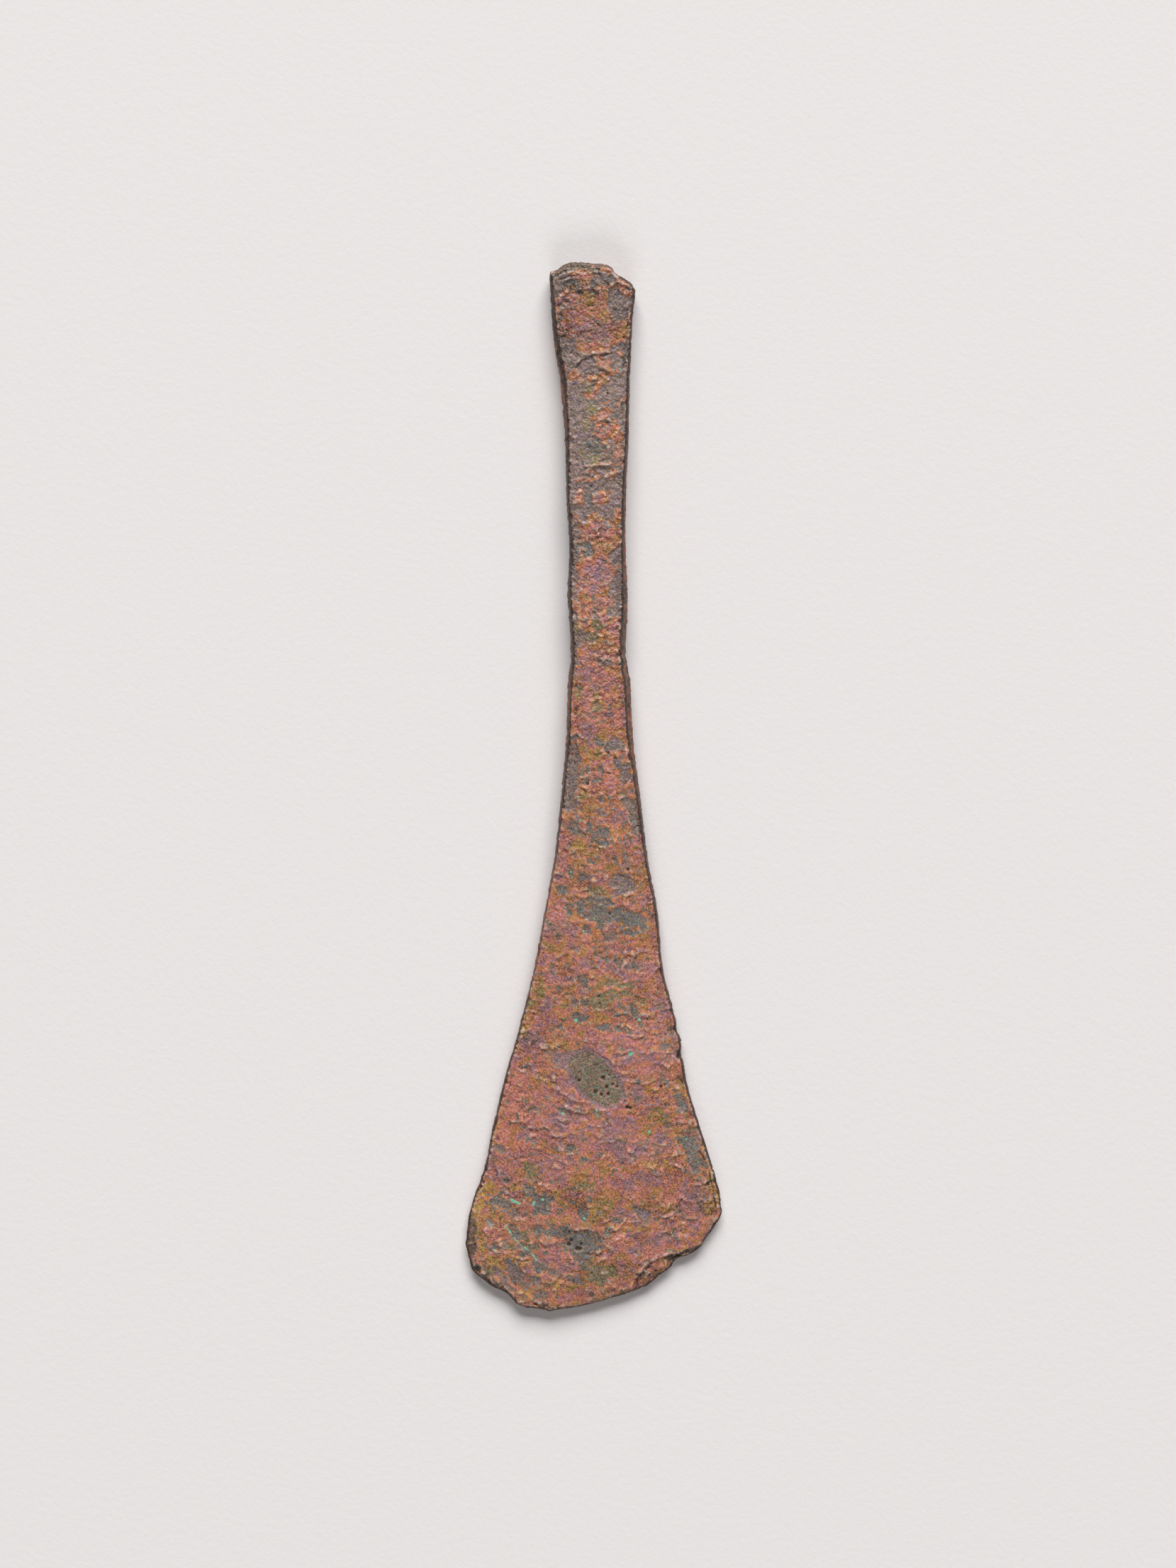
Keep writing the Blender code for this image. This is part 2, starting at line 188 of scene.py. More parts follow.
ORANGE = (
    (835, 488, 26, 7, 0), (847, 510, 9, 7, 0), (832, 559, 8, 6, 0), (845, 549, 8, 4, -45),
    (866, 588, 6, 7, 0), (872, 614, 7, 10, 0), (852, 632, 8, 4, 0), (878, 404, 12, 12, 40),
    (853, 378, 14, 6, 10), (822, 715, 6, 8, 0), (845, 738, 14, 8, -20), (846, 777, 16, 9, 0),
    (832, 790, 10, 5, -20), (824, 820, 5, 16, 0), (856, 832, 5, 10, 0), (838, 850, 20, 10, 0),
    (850, 862, 18, 6, 0), (862, 890, 10, 12, 0), (832, 915, 20, 9, 0), (862, 915, 16, 9, 0),
    (868, 955, 11, 14, 0), (845, 960, 12, 8, 0), (840, 945, 10, 8, 0), (850, 985, 22, 12, 0),
    (870, 1000, 10, 16, 0), (815, 1005, 8, 12, 0), (852, 1030, 20, 7, 0), (835, 1072, 18, 14, 0),
    (862, 1088, 12, 12, 0), (848, 1112, 16, 18, 60), (832, 1128, 12, 12, 0), (862, 1132, 14, 12, 0),
    (835, 1150, 12, 9, 0), (802, 1148, 9, 9, 0), (862, 1200, 22, 14, 0), (825, 1203, 26, 12, 10),
    (898, 1195, 8, 18, 0), (840, 1226, 20, 7, 0), (900, 1222, 12, 9, 0), (858, 1222, 14, 8, 0),
    (800, 1245, 7, 9, 0), (815, 1262, 12, 5, 0), (790, 1272, 16, 8, 0), (893, 1268, 16, 7, 0),
    (912, 1290, 8, 14, 0), (868, 1312, 22, 6, 5), (912, 1325, 14, 12, 0), (838, 1325, 14, 8, 0),
    (885, 1328, 18, 6, 0), (790, 1340, 14, 8, 0), (905, 1348, 9, 8, 0), (835, 1372, 20, 5, 0),
    (870, 1380, 20, 4, 10), (795, 1395, 12, 12, 0), (760, 1400, 10, 16, 0), (900, 1398, 10, 16, 0),
    (855, 1392, 8, 4, 0), (838, 1438, 20, 7, -5), (830, 1456, 20, 6, 0), (790, 1430, 10, 6, 0),
    (765, 1512, 14, 12, 0), (955, 1520, 20, 16, 0), (910, 1510, 20, 9, 0), (925, 1582, 24, 14, 0),
    (822, 1592, 20, 8, 0), (770, 1672, 16, 7, 0), (825, 1650, 14, 6, 0), (940, 1652, 30, 7, 0),
    (865, 1650, 20, 8, 0), (860, 1690, 40, 14, 10), (692, 1716, 9, 9, 0), (743, 1716, 12, 7, 0),
    (1003, 1700, 7, 12, 0), (708, 1738, 10, 12, 40), (795, 1722, 22, 6, 0), (900, 1738, 16, 9, 0),
    (945, 1700, 34, 12, 0), (862, 1770, 14, 10, 0), (722, 1775, 12, 10, 30), (908, 1800, 18, 9, -35),
    (930, 1786, 12, 6, -25), (855, 1830, 26, 6, -12), (780, 1820, 22, 8, 20), (815, 1838, 14, 6, 0),
    (792, 1790, 12, 5, 0), (930, 1530, 16, 12, 0), (690, 1600, 10, 12, 0), (755, 1620, 16, 8, 0),
    (905, 1550, 14, 8, 0), (850, 1040, 12, 40, 0), (905, 1390, 12, 8, 0), (790, 1700, 8, 6, 0),
    (858, 1712, 10, 6, 0), (822, 860, 9, 12, 0), (850, 908, 12, 10, 0), (862, 1186, 16, 12, 0),
    (806, 1180, 10, 10, 0), (926, 1396, 14, 12, 0), (895, 1468, 28, 8, 0), (932, 1602, 18, 10, 0),
    (940, 1692, 20, 12, 0), (772, 1655, 12, 14, 0), (806, 1548, 14, 8, 0), (938, 1740, 12, 8, 0),
    (830, 1622, 14, 12, 0), (846, 775, 14, 10, 0), (840, 500, 30, 7, 0), (822, 1125, 12, 12, 0),
    (782, 1345, 12, 10, 0),
)
OCHRE = (
    (833, 422, 22, 9, 5), (853, 440, 14, 6, 80), (818, 452, 14, 5, 0), (816, 388, 13, 7, 0),
    (848, 538, 15, 7, 20), (812, 531, 7, 7, 0), (876, 468, 12, 10, 0), (846, 657, 18, 3, -6),
    (825, 730, 14, 10, 0), (870, 735, 8, 10, 0), (850, 770, 18, 6, 0), (818, 858, 8, 14, 0),
    (812, 845, 6, 8, 0), (832, 878, 12, 8, 0), (848, 898, 12, 8, 0), (862, 905, 8, 6, 0),
    (814, 960, 6, 8, 0), (870, 975, 6, 9, 0), (830, 1060, 16, 8, 0), (822, 1115, 8, 14, 0),
    (838, 1138, 14, 6, 0), (870, 1170, 20, 5, 0), (818, 1192, 16, 8, 0), (845, 1202, 16, 7, 0),
    (850, 1215, 14, 5, 0), (818, 1222, 14, 6, 0), (836, 1236, 18, 6, 0), (812, 1270, 8, 6, 0),
    (814, 1296, 12, 8, 0), (832, 1300, 6, 6, 0), (913, 1312, 8, 10, 0), (905, 1350, 8, 7, 0),
    (795, 1352, 9, 12, 20), (770, 1330, 8, 10, 0), (785, 1398, 8, 8, 0), (763, 1395, 10, 12, 0),
    (800, 1412, 8, 9, 0), (855, 1380, 12, 4, 0), (790, 1475, 20, 6, 0), (800, 1440, 10, 6, 0),
    (684, 1690, 20, 8, 100), (684, 1765, 12, 10, 60), (696, 1780, 14, 7, 30), (695, 1672, 10, 6, 0),
    (725, 1672, 14, 5, -10), (722, 1716, 14, 5, 10), (822, 1668, 20, 10, 0), (770, 1530, 12, 7, 0),
    (925, 1645, 18, 5, 0), (955, 1600, 8, 10, 0), (1004, 1668, 6, 14, -10), (740, 1748, 8, 12, 0),
    (846, 1700, 18, 14, 0), (832, 1726, 12, 7, 0), (840, 1780, 12, 12, 0), (745, 1778, 9, 8, 0),
    (785, 1810, 12, 6, 0), (742, 1820, 12, 6, 20), (788, 1688, 12, 9, 0), (925, 1570, 12, 8, 0),
    (910, 1600, 14, 5, 0), (958, 1530, 7, 28, 0), (822, 1640, 9, 7, 0), (748, 1416, 7, 18, 15),
    (706, 1706, 20, 10, 0), (700, 1776, 16, 8, 20), (850, 1806, 40, 8, -8), (690, 1790, 18, 8, 30),
    (735, 1726, 10, 5, 0), (714, 1724, 10, 5, 20), (800, 1816, 18, 6, 0), (748, 1836, 18, 5, 15),
    (775, 1745, 16, 5, 0), (730, 1782, 10, 6, 0), (685, 1752, 8, 10, 0), (747, 1410, 8, 16, 10),
    (742, 1440, 8, 12, 10), (722, 1776, 8, 6, 0), (672, 1720, 12, 34, 5), (704, 1640, 10, 12, 0),
    (830, 1600, 12, 5, 0), (850, 1030, 8, 14, 0), (840, 440, 26, 14, 0), (848, 720, 14, 12, 0),
    (856, 765, 16, 8, 0), (903, 1244, 9, 20, -10),
)
CORAL = (
    (724, 1545, 18, 44, 12), (742, 1572, 18, 14, 0), (940, 1694, 22, 11, -10), (926, 1398, 13, 11, 0),
    (898, 1467, 26, 7, 0), (864, 1096, 11, 17, 0), (820, 858, 9, 13, 0), (838, 1329, 24, 7, -6),
    (788, 1291, 9, 15, 0), (829, 1621, 13, 10, 0), (900, 1512, 18, 8, 0), (952, 1512, 12, 12, 60),
    (866, 1186, 12, 10, 0), (852, 758, 14, 8, 0), (876, 606, 6, 10, 0), (846, 962, 14, 7, 0),
    (812, 1012, 8, 10, 0), (872, 1012, 7, 12, 0), (905, 1372, 13, 8, 0), (785, 1385, 10, 7, 0),
    (772, 1500, 12, 6, 0), (852, 1462, 16, 5, 0), (735, 1620, 12, 8, 0), (712, 1600, 10, 12, 0),
    (975, 1585, 7, 12, 70), (890, 1685, 18, 8, 0), (742, 1722, 12, 6, 0), (692, 1738, 8, 12, 30),
    (775, 1768, 11, 10, 0), (872, 1752, 14, 6, 0), (930, 1765, 24, 6, -20), (905, 1800, 14, 7, -40),
    (818, 1830, 16, 5, 0), (820, 1000, 9, 8, 0), (858, 985, 10, 7, 0), (860, 1072, 9, 10, 0),
    (858, 1140, 10, 12, 0), (860, 1205, 12, 9, 0), (852, 1253, 12, 8, 0), (846, 1012, 8, 18, 0),
    (856, 908, 8, 10, 0), (842, 780, 10, 8, 0), (800, 1190, 7, 12, 0), (878, 1330, 12, 12, 0),
    (785, 1402, 14, 8, 0), (752, 1600, 10, 8, 0), (770, 1672, 8, 12, 0),
)
YELLOW = (
    (684, 1680, 15, 8, -20), (676, 1706, 20, 7, 100), (672, 1738, 24, 5, 96), (681, 1762, 8, 7, 0),
    (693, 1782, 14, 9, 30), (727, 1675, 13, 4, -10), (702, 1793, 8, 4, 0), (1003, 1668, 9, 4, 70),
    (1002, 1702, 9, 4, 90), (957, 1601, 8, 5, 70), (836, 1711, 6, 5, 0), (672, 1728, 5, 16, 0),
    (848, 1411, 10, 7, -20), (963, 1552, 4, 7, 0), (833, 425, 9, 6, 0), (849, 448, 5, 9, 0),
    (925, 1640, 12, 3, 0), (815, 1195, 12, 4, 0), (776, 1470, 9, 3, 90), (786, 1812, 8, 5, 0),
    (999, 1637, 14, 3, 68), (1008, 1663, 14, 3, 72), (1013, 1688, 12, 3, 82), (736, 1455, 6, 20, 14),
    (735, 1742, 5, 7, 0), (870, 1690, 8, 4, 0), (900, 1734, 12, 4, 0), (742, 1822, 8, 5, 0),
)

# Black corrosion, the crystals of the butt's break, russet streaks on the walls, and smoother places
CHARCOAL = (
    (811, 404, 17, 8, 20), (836, 402, 7, 8, 0), (670, 1789, 7, 8, 0), (952, 1777, 11, 5, -35),
    (694, 1812, 26, 4, 36), (884, 505, 6, 10, 0), (790, 470, 4, 20, 0),
)
CRYSTALS = (
    (815, 373, 38, 9, 0), (791, 382, 12, 5, -30), (846, 373, 14, 5, 10),
)
RUSSET = (
    (784, 545, 13, 85, -7), (796, 1000, 12, 110, 0), (886, 670, 9, 190, 0), (892, 1050, 10, 90, 0),
    (880, 385, 26, 10, 38), (830, 1850, 50, 14, -12), (768, 1310, 12, 130, 10), (722, 1500, 14, 90, 16),
    (928, 1340, 10, 110, -10), (690, 1640, 12, 60, 20),
)
SMOOTH = (
    (834, 455, 44, 38, 0), (838, 1696, 36, 22, 0), (664, 1745, 16, 44, 0), (690, 1806, 34, 16, 36),
    (974, 1715, 18, 9, 0), (806, 1085, 10, 50, 0),
)

# Broad places that are darker, and lighter, than the rest
DARKER_PLACES = (
    (836, 420, 70, 66, 0), (796, 440, 14, 60, 0), (884, 480, 12, 50, 0), (812, 1000, 12, 110, 0),
    (809, 1080, 12, 60, 0), (700, 1782, 22, 12, 20), (852, 1722, 20, 16, 0), (820, 1690, 40, 20, 0),
    (852, 1806, 60, 26, -12), (905, 1815, 50, 14, -20), (670, 1800, 22, 22, 0), (748, 1420, 12, 60, 12),
    (843, 1790, 26, 20, 0), (900, 1230, 12, 50, -8), (948, 1690, 50, 36, 0), (760, 1500, 14, 10, 0),
    (886, 1250, 16, 12, 0), (756, 1375, 10, 24, 12), (922, 1330, 8, 50, -8), (755, 1440, 24, 40, 10),
    (805, 1390, 24, 22, 0), (825, 1240, 20, 20, 0), (736, 1800, 50, 14, 20), (812, 1745, 26, 16, 0),
    (742, 1420, 14, 40, 12), (738, 1570, 16, 14, 0), (1002, 1680, 10, 50, -5), (814, 740, 10, 20, 0),
    (822, 1308, 14, 12, 0), (850, 1800, 50, 20, -8), (850, 760, 20, 10, 0),
)
LIGHTER_PLACES = (
    (864, 1096, 14, 22, 0), (820, 858, 12, 16, 0), (838, 1329, 30, 12, -6), (788, 1291, 12, 20, 0),
    (829, 1621, 18, 14, 0), (940, 1680, 40, 24, -10), (900, 1480, 60, 40, 0), (812, 860, 14, 40, 0),
    (870, 700, 10, 26, 0), (842, 812, 20, 24, 0), (692, 1736, 12, 14, 0), (806, 620, 10, 50, 0),
    (800, 1590, 40, 20, 0), (880, 1140, 14, 16, 0), (716, 1696, 16, 8, 0), (860, 1190, 14, 14, 0),
    (870, 880, 10, 40, 0), (868, 560, 14, 30, 0),
)

# The two spongy spots with their halo, and the worn and broken edges
SPONGE = (
    (841, 1522, 45, 26, 50), (815, 1500, 14, 12, 20),
)
SPONGE_HALO = (
    (840, 1521, 50, 31, 50), (803, 1497, 22, 13, 20),
)
BEVEL = (
    (664, 1750, 9, 38, 0), (695, 1814, 34, 7, 36), (672, 1791, 8, 8, 0), (951, 1778, 12, 6, -35),
    (975, 1765, 22, 5, -22), (884, 1829, 18, 3, -22), (1008, 1735, 4, 14, 25), (815, 375, 28, 6, 0),
    (958, 1452, 5, 12, 80), (962, 1488, 5, 12, 85), (985, 1590, 4, 14, 75), (1008, 1670, 3, 16, 80),
    (671, 1670, 5, 8, 0), (836, 1830, 5, 7, 0), (760, 1842, 16, 4, 12),
)

# The patches that lie on the upper face alone
FACE_PATCHES = {
    "slate": SLATE,
    "mauve": MAUVE,
    "olive": OLIVE,
    "rose": ROSE,
    "orange": ORANGE,
    "ochre": OCHRE,
    "coral": CORAL,
    "yellow": YELLOW,
    "charcoal": CHARCOAL,
    "dusk": DARKER_PLACES,
    "bevel": BEVEL,
}

# Round marks: x, y and radius. The verdigris stands a little proud, and a pit is sunk.
VERDIGRIS_DOTS = (
    (753.3, 1697, 2.2), (752, 1700, 1.6), (765.8, 1692.7, 2.0), (700.3, 1690, 1.2),
    (824.3, 1719.2, 2.0), (818.8, 1712.5, 1.0), (693.3, 1732.2, 1.5), (698.3, 1764.2, 2.0),
    (814.2, 1676.2, 1.2), (862.2, 1759.2, 1.3), (832, 1444.2, 1.3), (812.5, 1439, 2.6),
    (864, 1450, 1.0), (903, 1431, 1.5), (901.7, 1438, 2.2), (889, 1486.7, 3.0), (893, 1485, 1.6),
    (917, 1558.7, 1.5), (919, 1578, 1.0), (915.8, 1597, 2.2), (968, 1570, 1.0), (968, 1607, 1.6),
    (793.8, 1570, 1.7), (794.2, 1573, 1.4), (812.5, 1633, 1.0), (817.5, 1610, 1.1), (932, 1624.7, 1.0),
    (857.5, 1561, 1.1), (833.5, 1077, 1.3), (897, 1772, 1.4), (913, 1730, 1.1), (816, 1124, 1.3),
    (816.5, 1128, 1.2), (817.5, 1144, 1.4), (817.5, 1147, 1.4), (818.5, 1157.5, 1.8), (894, 1095, 1.3),
    (805, 1230, 1.6), (807, 1237, 1.3), (798, 1280, 1.4), (839, 1296, 1.2), (840, 1301, 1.1),
    (888, 1301, 1.2), (823, 1313, 1.6), (824, 1316.5, 1.4), (822, 1324, 1.0), (822, 1333, 1.1),
    (845, 1278, 1.1), (783, 1373, 1.4), (795, 1389, 1.2), (907, 1418, 1.0), (788, 1495, 1.0),
    (850, 1488, 1.2), (748, 1567, 1.2), (743, 1562, 1.0), (985, 1640, 1.2), (978, 1628, 1.0),
    (875, 522, 1.6),
)
PITS = (
    (817, 1523.8, 2.2), (826.3, 1501.3, 1.1), (843, 1500.7, 1.1), (857, 1510.5, 1.3),
    (850.8, 1520, 3.0), (859.2, 1516, 1.1), (864.2, 1529.5, 2.0), (856, 1532.7, 2.5),
    (870.3, 1532.5, 1.8), (840, 1539.7, 2.9), (848.3, 1543.3, 2.3), (858, 1543, 2.4),
    (852.5, 1547.5, 1.3), (838, 1501.7, 1.0), (830, 1529, 1.1), (884.5, 1561.5, 2.6),
    (889, 1562.5, 2.4), (932.5, 1532.5, 2.2), (938, 1529.7, 1.2), (939.2, 1542.5, 0.9),
    (943.3, 1548, 0.9), (810, 1450, 1.4), (828, 1455.8, 1.0), (912.8, 1437, 0.9), (919.3, 1469, 0.9),
    (805.8, 1749, 2.0), (802.5, 1755.3, 2.8), (814.5, 1761, 3.0), (818, 1761.5, 2.6), (820, 1755, 2.2),
    (705.8, 1720.3, 1.3), (681.3, 1668, 2.2), (677.5, 1674, 2.5), (845, 1405, 1.6), (846, 1415, 1.5),
    (799, 427, 2.0), (835, 440, 1.4), (857, 556, 1.8), (851, 651, 1.6), (860, 1288, 1.8),
    (829, 1105, 2.2), (858, 1062, 2.0), (886, 1226, 2.2), (834, 687, 1.5), (831, 632, 1.3),
    (916, 1788, 1.8), (909, 1797, 1.5), (917, 1800, 1.4), (904, 1806, 1.3), (926, 1795, 1.5),
)

# Lines of verdigris: half width, then the pixels they run through
VERDIGRIS_LINES = (
    (1.7, (714, 1691.3), (721.7, 1692.8), (728.3, 1696.7), (733, 1698.4)),
    (0.8, (728.3, 1696.7), (736.7, 1699.2), (740.8, 1704.2)),
    (0.9, (708, 1726.7), (714.2, 1730.8), (720.8, 1738.3), (726.7, 1748.3), (735, 1757.5)),
    (1.4, (735, 1757.5), (745.8, 1764.2), (753.3, 1770), (756.3, 1776.7)),
    (0.6, (756.3, 1776.7), (763.3, 1783.3), (774.2, 1787.5)),
    (0.7, (676.7, 1707.5), (681.7, 1717.5), (690.8, 1725.8), (694.2, 1732.5)),
    (0.9, (865.3, 1730), (857.5, 1733.3), (855, 1740), (858.7, 1745.3)),
    (1.1, (840.5, 1565), (841.5, 1571), (843.3, 1576)), (0.6, (800, 1627), (810, 1628)),
)

# Grooves: half width and depth in millimetres, then the pixels they run through
CRACKS = (
    (0.1, 0.16, (843, 1485), (850, 1489.5), (858.3, 1494), (868.3, 1504), (875, 1512.5), (878.5, 1518)),
    (0.1, 0.12, (797, 1732), (806, 1735.5), (815, 1737), (822, 1734), (836, 1739)),
    (0.16, 0.16, (920, 1782), (912, 1790), (905, 1800), (898, 1812)),
    (0.12, 0.1, (896, 1634), (900, 1643), (897, 1653), (893, 1662)),
    (0.1, 0.12, (956, 1701), (959, 1696), (963, 1692)),
    (0.16, 0.12, (986, 1622), (995, 1640), (1002, 1660), (1007, 1682), (1010, 1704)),
    (0.1, 0.1, (734, 1593), (740, 1590)), (0.08, 0.1, (766, 1590), (770, 1595)),
    (0.15, 0.1, (812, 520), (822, 509), (836, 503), (850, 503), (862, 500)),
    (0.18, 0.14, (790, 396), (806, 389), (820, 392), (838, 386), (858, 390)),
)

# Ledges: the drop in millimetres, 1 for below the line or -1 for above it, then the line's pixels
LEDGES = (
   
    (0.28, 1, (890, 1814), (896, 1806), (903, 1795), (913, 1784), (926, 1776), (942, 1771), (964, 1768)),
    (0.26, -1, (780, 394), (794, 388), (808, 384), (824, 387), (840, 384), (858, 388), (866, 394)),
)

# Places where the outline stands out from the casting's: x, y, radius and the move towards +x and down
GRABS = (
    (671, 1793, 20, -2.5, 2.5), (733, 1840, 30, -1.5, 4.5), (700, 1815, 22, -1, 1.5),
    (832, 1838, 60, 0, 3), (880, 1820, 44, 1, 4), (915, 1806, 38, 1.5, 4), (942, 1788, 24, 1.5, 2),
    (972, 1766, 24, 1.5, 3.5), (989, 1755, 26, 1.5, 0.5), (1012, 1716, 18, 2, 3),
    (1003, 1733, 22, 3, 3), (893, 412, 36, 2, -0.5), (963, 1470, 22, 1.5, 0),
)

# Dents: x, y, radius in pixels and depth in millimetres
HOLLOWS = (
    (803, 500, 14, 0.3), (822, 560, 12, 0.14), (842, 1776, 16, 0.1), (836, 640, 16, 0.1),
    (957, 1452, 8, 0.3), (961, 1487, 8, 0.3), (960, 1525, 9, 0.3), (973, 1575, 8, 0.3),
    (671, 1669, 8, 0.3), (672, 1792, 9, 0.35), (905, 1808, 14, 0.3), (952, 1778, 12, 0.35),
    (925, 1795, 14, 0.25), (822, 1832, 12, 0.2), (1006, 1712, 8, 0.2), (700, 1822, 14, 0.2),
)

# Lips of scales: how far they stand up in millimetres, then the pixels they run through. The surface
# swells towards a lip and drops behind it.
LIPS = (
    (0.28, (735, 1456), (748, 1454), (757, 1459)), (0.22, (760, 1477), (766, 1479), (772, 1479)),
    (0.32, (720, 1583), (742, 1583), (745, 1590), (752, 1592), (763, 1591), (775, 1592)),
    (0.38, (797, 1562), (808, 1566), (815, 1568), (823, 1572), (831, 1569)),
    (0.34, (785, 1577), (793, 1582), (801, 1581)), (0.3, (776, 1601), (784, 1603), (802, 1602)),
    (0.2, (803, 1597), (814, 1600)), (0.22, (864, 1609), (874, 1608)),
    (0.3, (884, 1460), (895, 1463), (908, 1460)), (0.2, (903, 1483), (915, 1487), (922, 1484)),
    (0.2, (932, 1471), (945, 1472)), (0.24, (937, 1507), (945, 1503), (951, 1500)),
    (0.22, (883, 1517), (894, 1519)), (0.24, (904, 1529), (916, 1528), (926, 1522)),
    (0.22, (950, 1534), (958, 1537)), (0.24, (955, 1585), (965, 1584)),
    (0.22, (748, 1618), (758, 1621), (768, 1622)), (0.26, (905, 1617), (918, 1620)),
    (0.26, (948, 1631), (961, 1628)), (0.26, (789, 1540), (800, 1546), (816, 1553)),
    (0.2, (857, 1572), (867, 1573)), (0.28, (770, 1705), (781, 1708)), (0.24, (828, 1702), (836, 1704)),
    (0.32, (761, 1751), (769, 1756), (784, 1753)), (0.24, (682, 1737), (691, 1744)),
    (0.2, (699, 1757), (708, 1759)), (0.2, (853, 1756), (869, 1767)),
    (0.22, (879, 1744), (890, 1742), (903, 1738)), (0.3, (848, 1797), (858, 1797)),
    (0.26, (764, 1808), (776, 1810), (785, 1806)), (0.26, (953, 1688), (965, 1693)),
    (0.24, (821, 1655), (829, 1659), (837, 1655)), (0.2, (869, 1660), (881, 1663)),
    (0.26, (796, 1731), (806, 1735), (815, 1736), (823, 1733), (837, 1738)),
    (0.18, (880, 1345), (896, 1348)), (0.3, (782, 1352), (790, 1350), (798, 1346)),
    (0.26, (866, 1432), (878, 1428), (890, 1431)), (0.26, (893, 1437), (905, 1433), (918, 1436)),
    (0.22, (820, 1327), (836, 1330)), (0.2, (815, 1218), (833, 1221)), (0.26, (833, 1004), (846, 1001)),
    (0.22, (849, 1087), (862, 1089)), (0.22, (838, 1062), (853, 1059)),
    (0.26, (812, 887), (822, 891), (832, 890)), (0.3, (846, 930), (857, 938), (869, 944)),
    (0.28, (800, 508), (812, 513), (824, 507)), (0.34, (816, 500), (832, 503), (848, 499), (862, 497)),
    (0.28, (838, 524), (850, 521), (862, 526)), (0.24, (824, 547), (838, 543), (852, 544)),
    (0.26, (838, 598), (850, 592), (862, 594)), (0.26, (822, 660), (840, 657), (862, 659)),
    (0.24, (852, 676), (868, 669), (877, 665)), (0.24, (806, 712), (820, 708)),
    (0.26, (836, 710), (850, 706), (861, 708)), (0.22, (832, 762), (848, 756), (862, 760)),
    (0.16, (796, 398), (812, 394), (830, 392)), (0.16, (850, 388), (866, 392), (880, 402)),
    (0.24, (812, 412), (830, 408), (848, 411)), (0.22, (806, 470), (824, 466), (840, 469)),
)

# How a mask raises the surface: its height in millimetres, and the places inside the mask's edge,
# in millimetres, where its slope starts and ends
MASK_HEIGHTS = {
    "halo": (-0.05, -0.05, 0.2),
    "sponge": (-0.08, -0.05, 0.2),
    "bevel": (-0.25, -0.16, 0.64),
    "pit": (-0.22, -0.18, 0.12),
    "verdigris": (0.05, -0.15, 0.15),
}

# Other heights and depths of the relief, in millimetres
SWELL = 0.13
CRUST_RISE = 0.12
TERRACE = 0.08
WALL_LUMPS = 0.14
LIP_SHARE = 0.85
CHIP_DEPTH = 0.20
FACE_DROP = 0.12

# Sizes of the two sheets of overlapping scales in millimetres, their seeds, their heights in layers
# of flakes, and how much lower they stand where the surface is gritty
SCALES = ((2.3, 6, 4.1, 0.6), (1.1, 20, 2.3, 0.5))

# The noises of the materials: lumps per metre, detail, roughness, offset and distortion
NOISES = {
    "specks": (2000.0, 1.3, 0.8, (0.1, 0.7, 0), 0.3),
    "hue": (500.0, 5.0, 0.8, (0.5, 0, 0)),
    "flecks": (1900.0, 1.5, 0.8, (0.5, 0.3, 0)),
    "chance": (520.0, 3.0, 0.6, (0.3, 0.1, 0.7)),
    "grain": (2800.0, 1.0, 1.0),
    "clouds": (260.0, 2.0, 0.6, (0.8, 0.8, 0)),
    "yellowing": (2000.0, 1.3, 0.9, (0.9, 0.1, 0)),
    "streaks": (700.0, 5.0, 0.7, (0, 0, 0.4)),
    "arris_shade": (900.0, 2.0, 0.8, (0, 0, 0.9)),
    "fine": (1150.0, 1.3, 0.6, (0.2, 0, 0)),
    "paper": (900.0, 5.0, 0.7),
}

# The crust's tone: the patch that moves it, the softness of the patch's edge, and the move
BASE_TONE = -0.15
TONES = (("orange", 0.6, 0.8), ("rose", 0.6, -1.45), ("ochre", 0.5, 1.5))

# The crust's colours from mauve to olive, each with its level, in the 0 to 255 of a screen
BAND_SPAN = 6
BANDS = (
    (-2.8, 131, 103, 107),
    (-1.6, 147, 108, 112),
    (-0.7, 158, 109, 109),
    (-0.3, 171, 110, 103),
    (0.4, 184, 113, 95),
    (0.9, 174, 116, 76),
    (1.6, 156, 117, 68),
    (2.9, 130, 114, 70),
)

# Flecked patches: the mask, its raggedness and softness, then the colour and the flecks' colour
FLECKED = (
    ("halo", 0.12, 0.1, (134, 114, 120), (154, 112, 106)),
    ("bevel", 0.4, 0.2, (92, 80, 70), (134, 104, 86)),
    ("sponge", 0.15, 0.15, (104, 110, 90), (146, 110, 96)),
    ("charcoal", 0.4, 0.2, (74, 70, 68), (116, 98, 88)),
)

# The camera's sensor in millimetres, and the height that the frame is measured at
SENSOR = 36
FOCUS_HEIGHT = 3 * MM


def photo_axes(points):
    """The photograph's x and y of each point."""
    return HEAD_MIDDLE[0] + points[:, 0] / PIXEL, HEAD_MIDDLE[1] - points[:, 1] / PIXEL


def place(x, y):
    """Plan metres of a pixel of the photograph."""
    return (x - HEAD_MIDDLE[0]) * PIXEL, (HEAD_MIDDLE[1] - y) * PIXEL


def ease(share):
    """A share held between 0 and 1, with a soft start and end."""
    share = np.clip(share, 0.0, 1.0)
    return share * share * (3 - 2 * share)


def fade(value, start, end):
    """From 0 at start to 1 at end, which may be the smaller of the two."""
    return ease((value - start) / (end - start))


def lumps(points, size, seed, octaves=2, stretch=(1, 1, 1)):
    """Smooth noise of about -1 to 1 whose largest lumps are size millimetres across."""
    scaled = points / (np.array(stretch) * size * MM) @ LATTICE + seed * SEED_SHIFT
    return np.array([noise.fractal(Vector(p), 1.0, 2.0, octaves) for p in scaled])


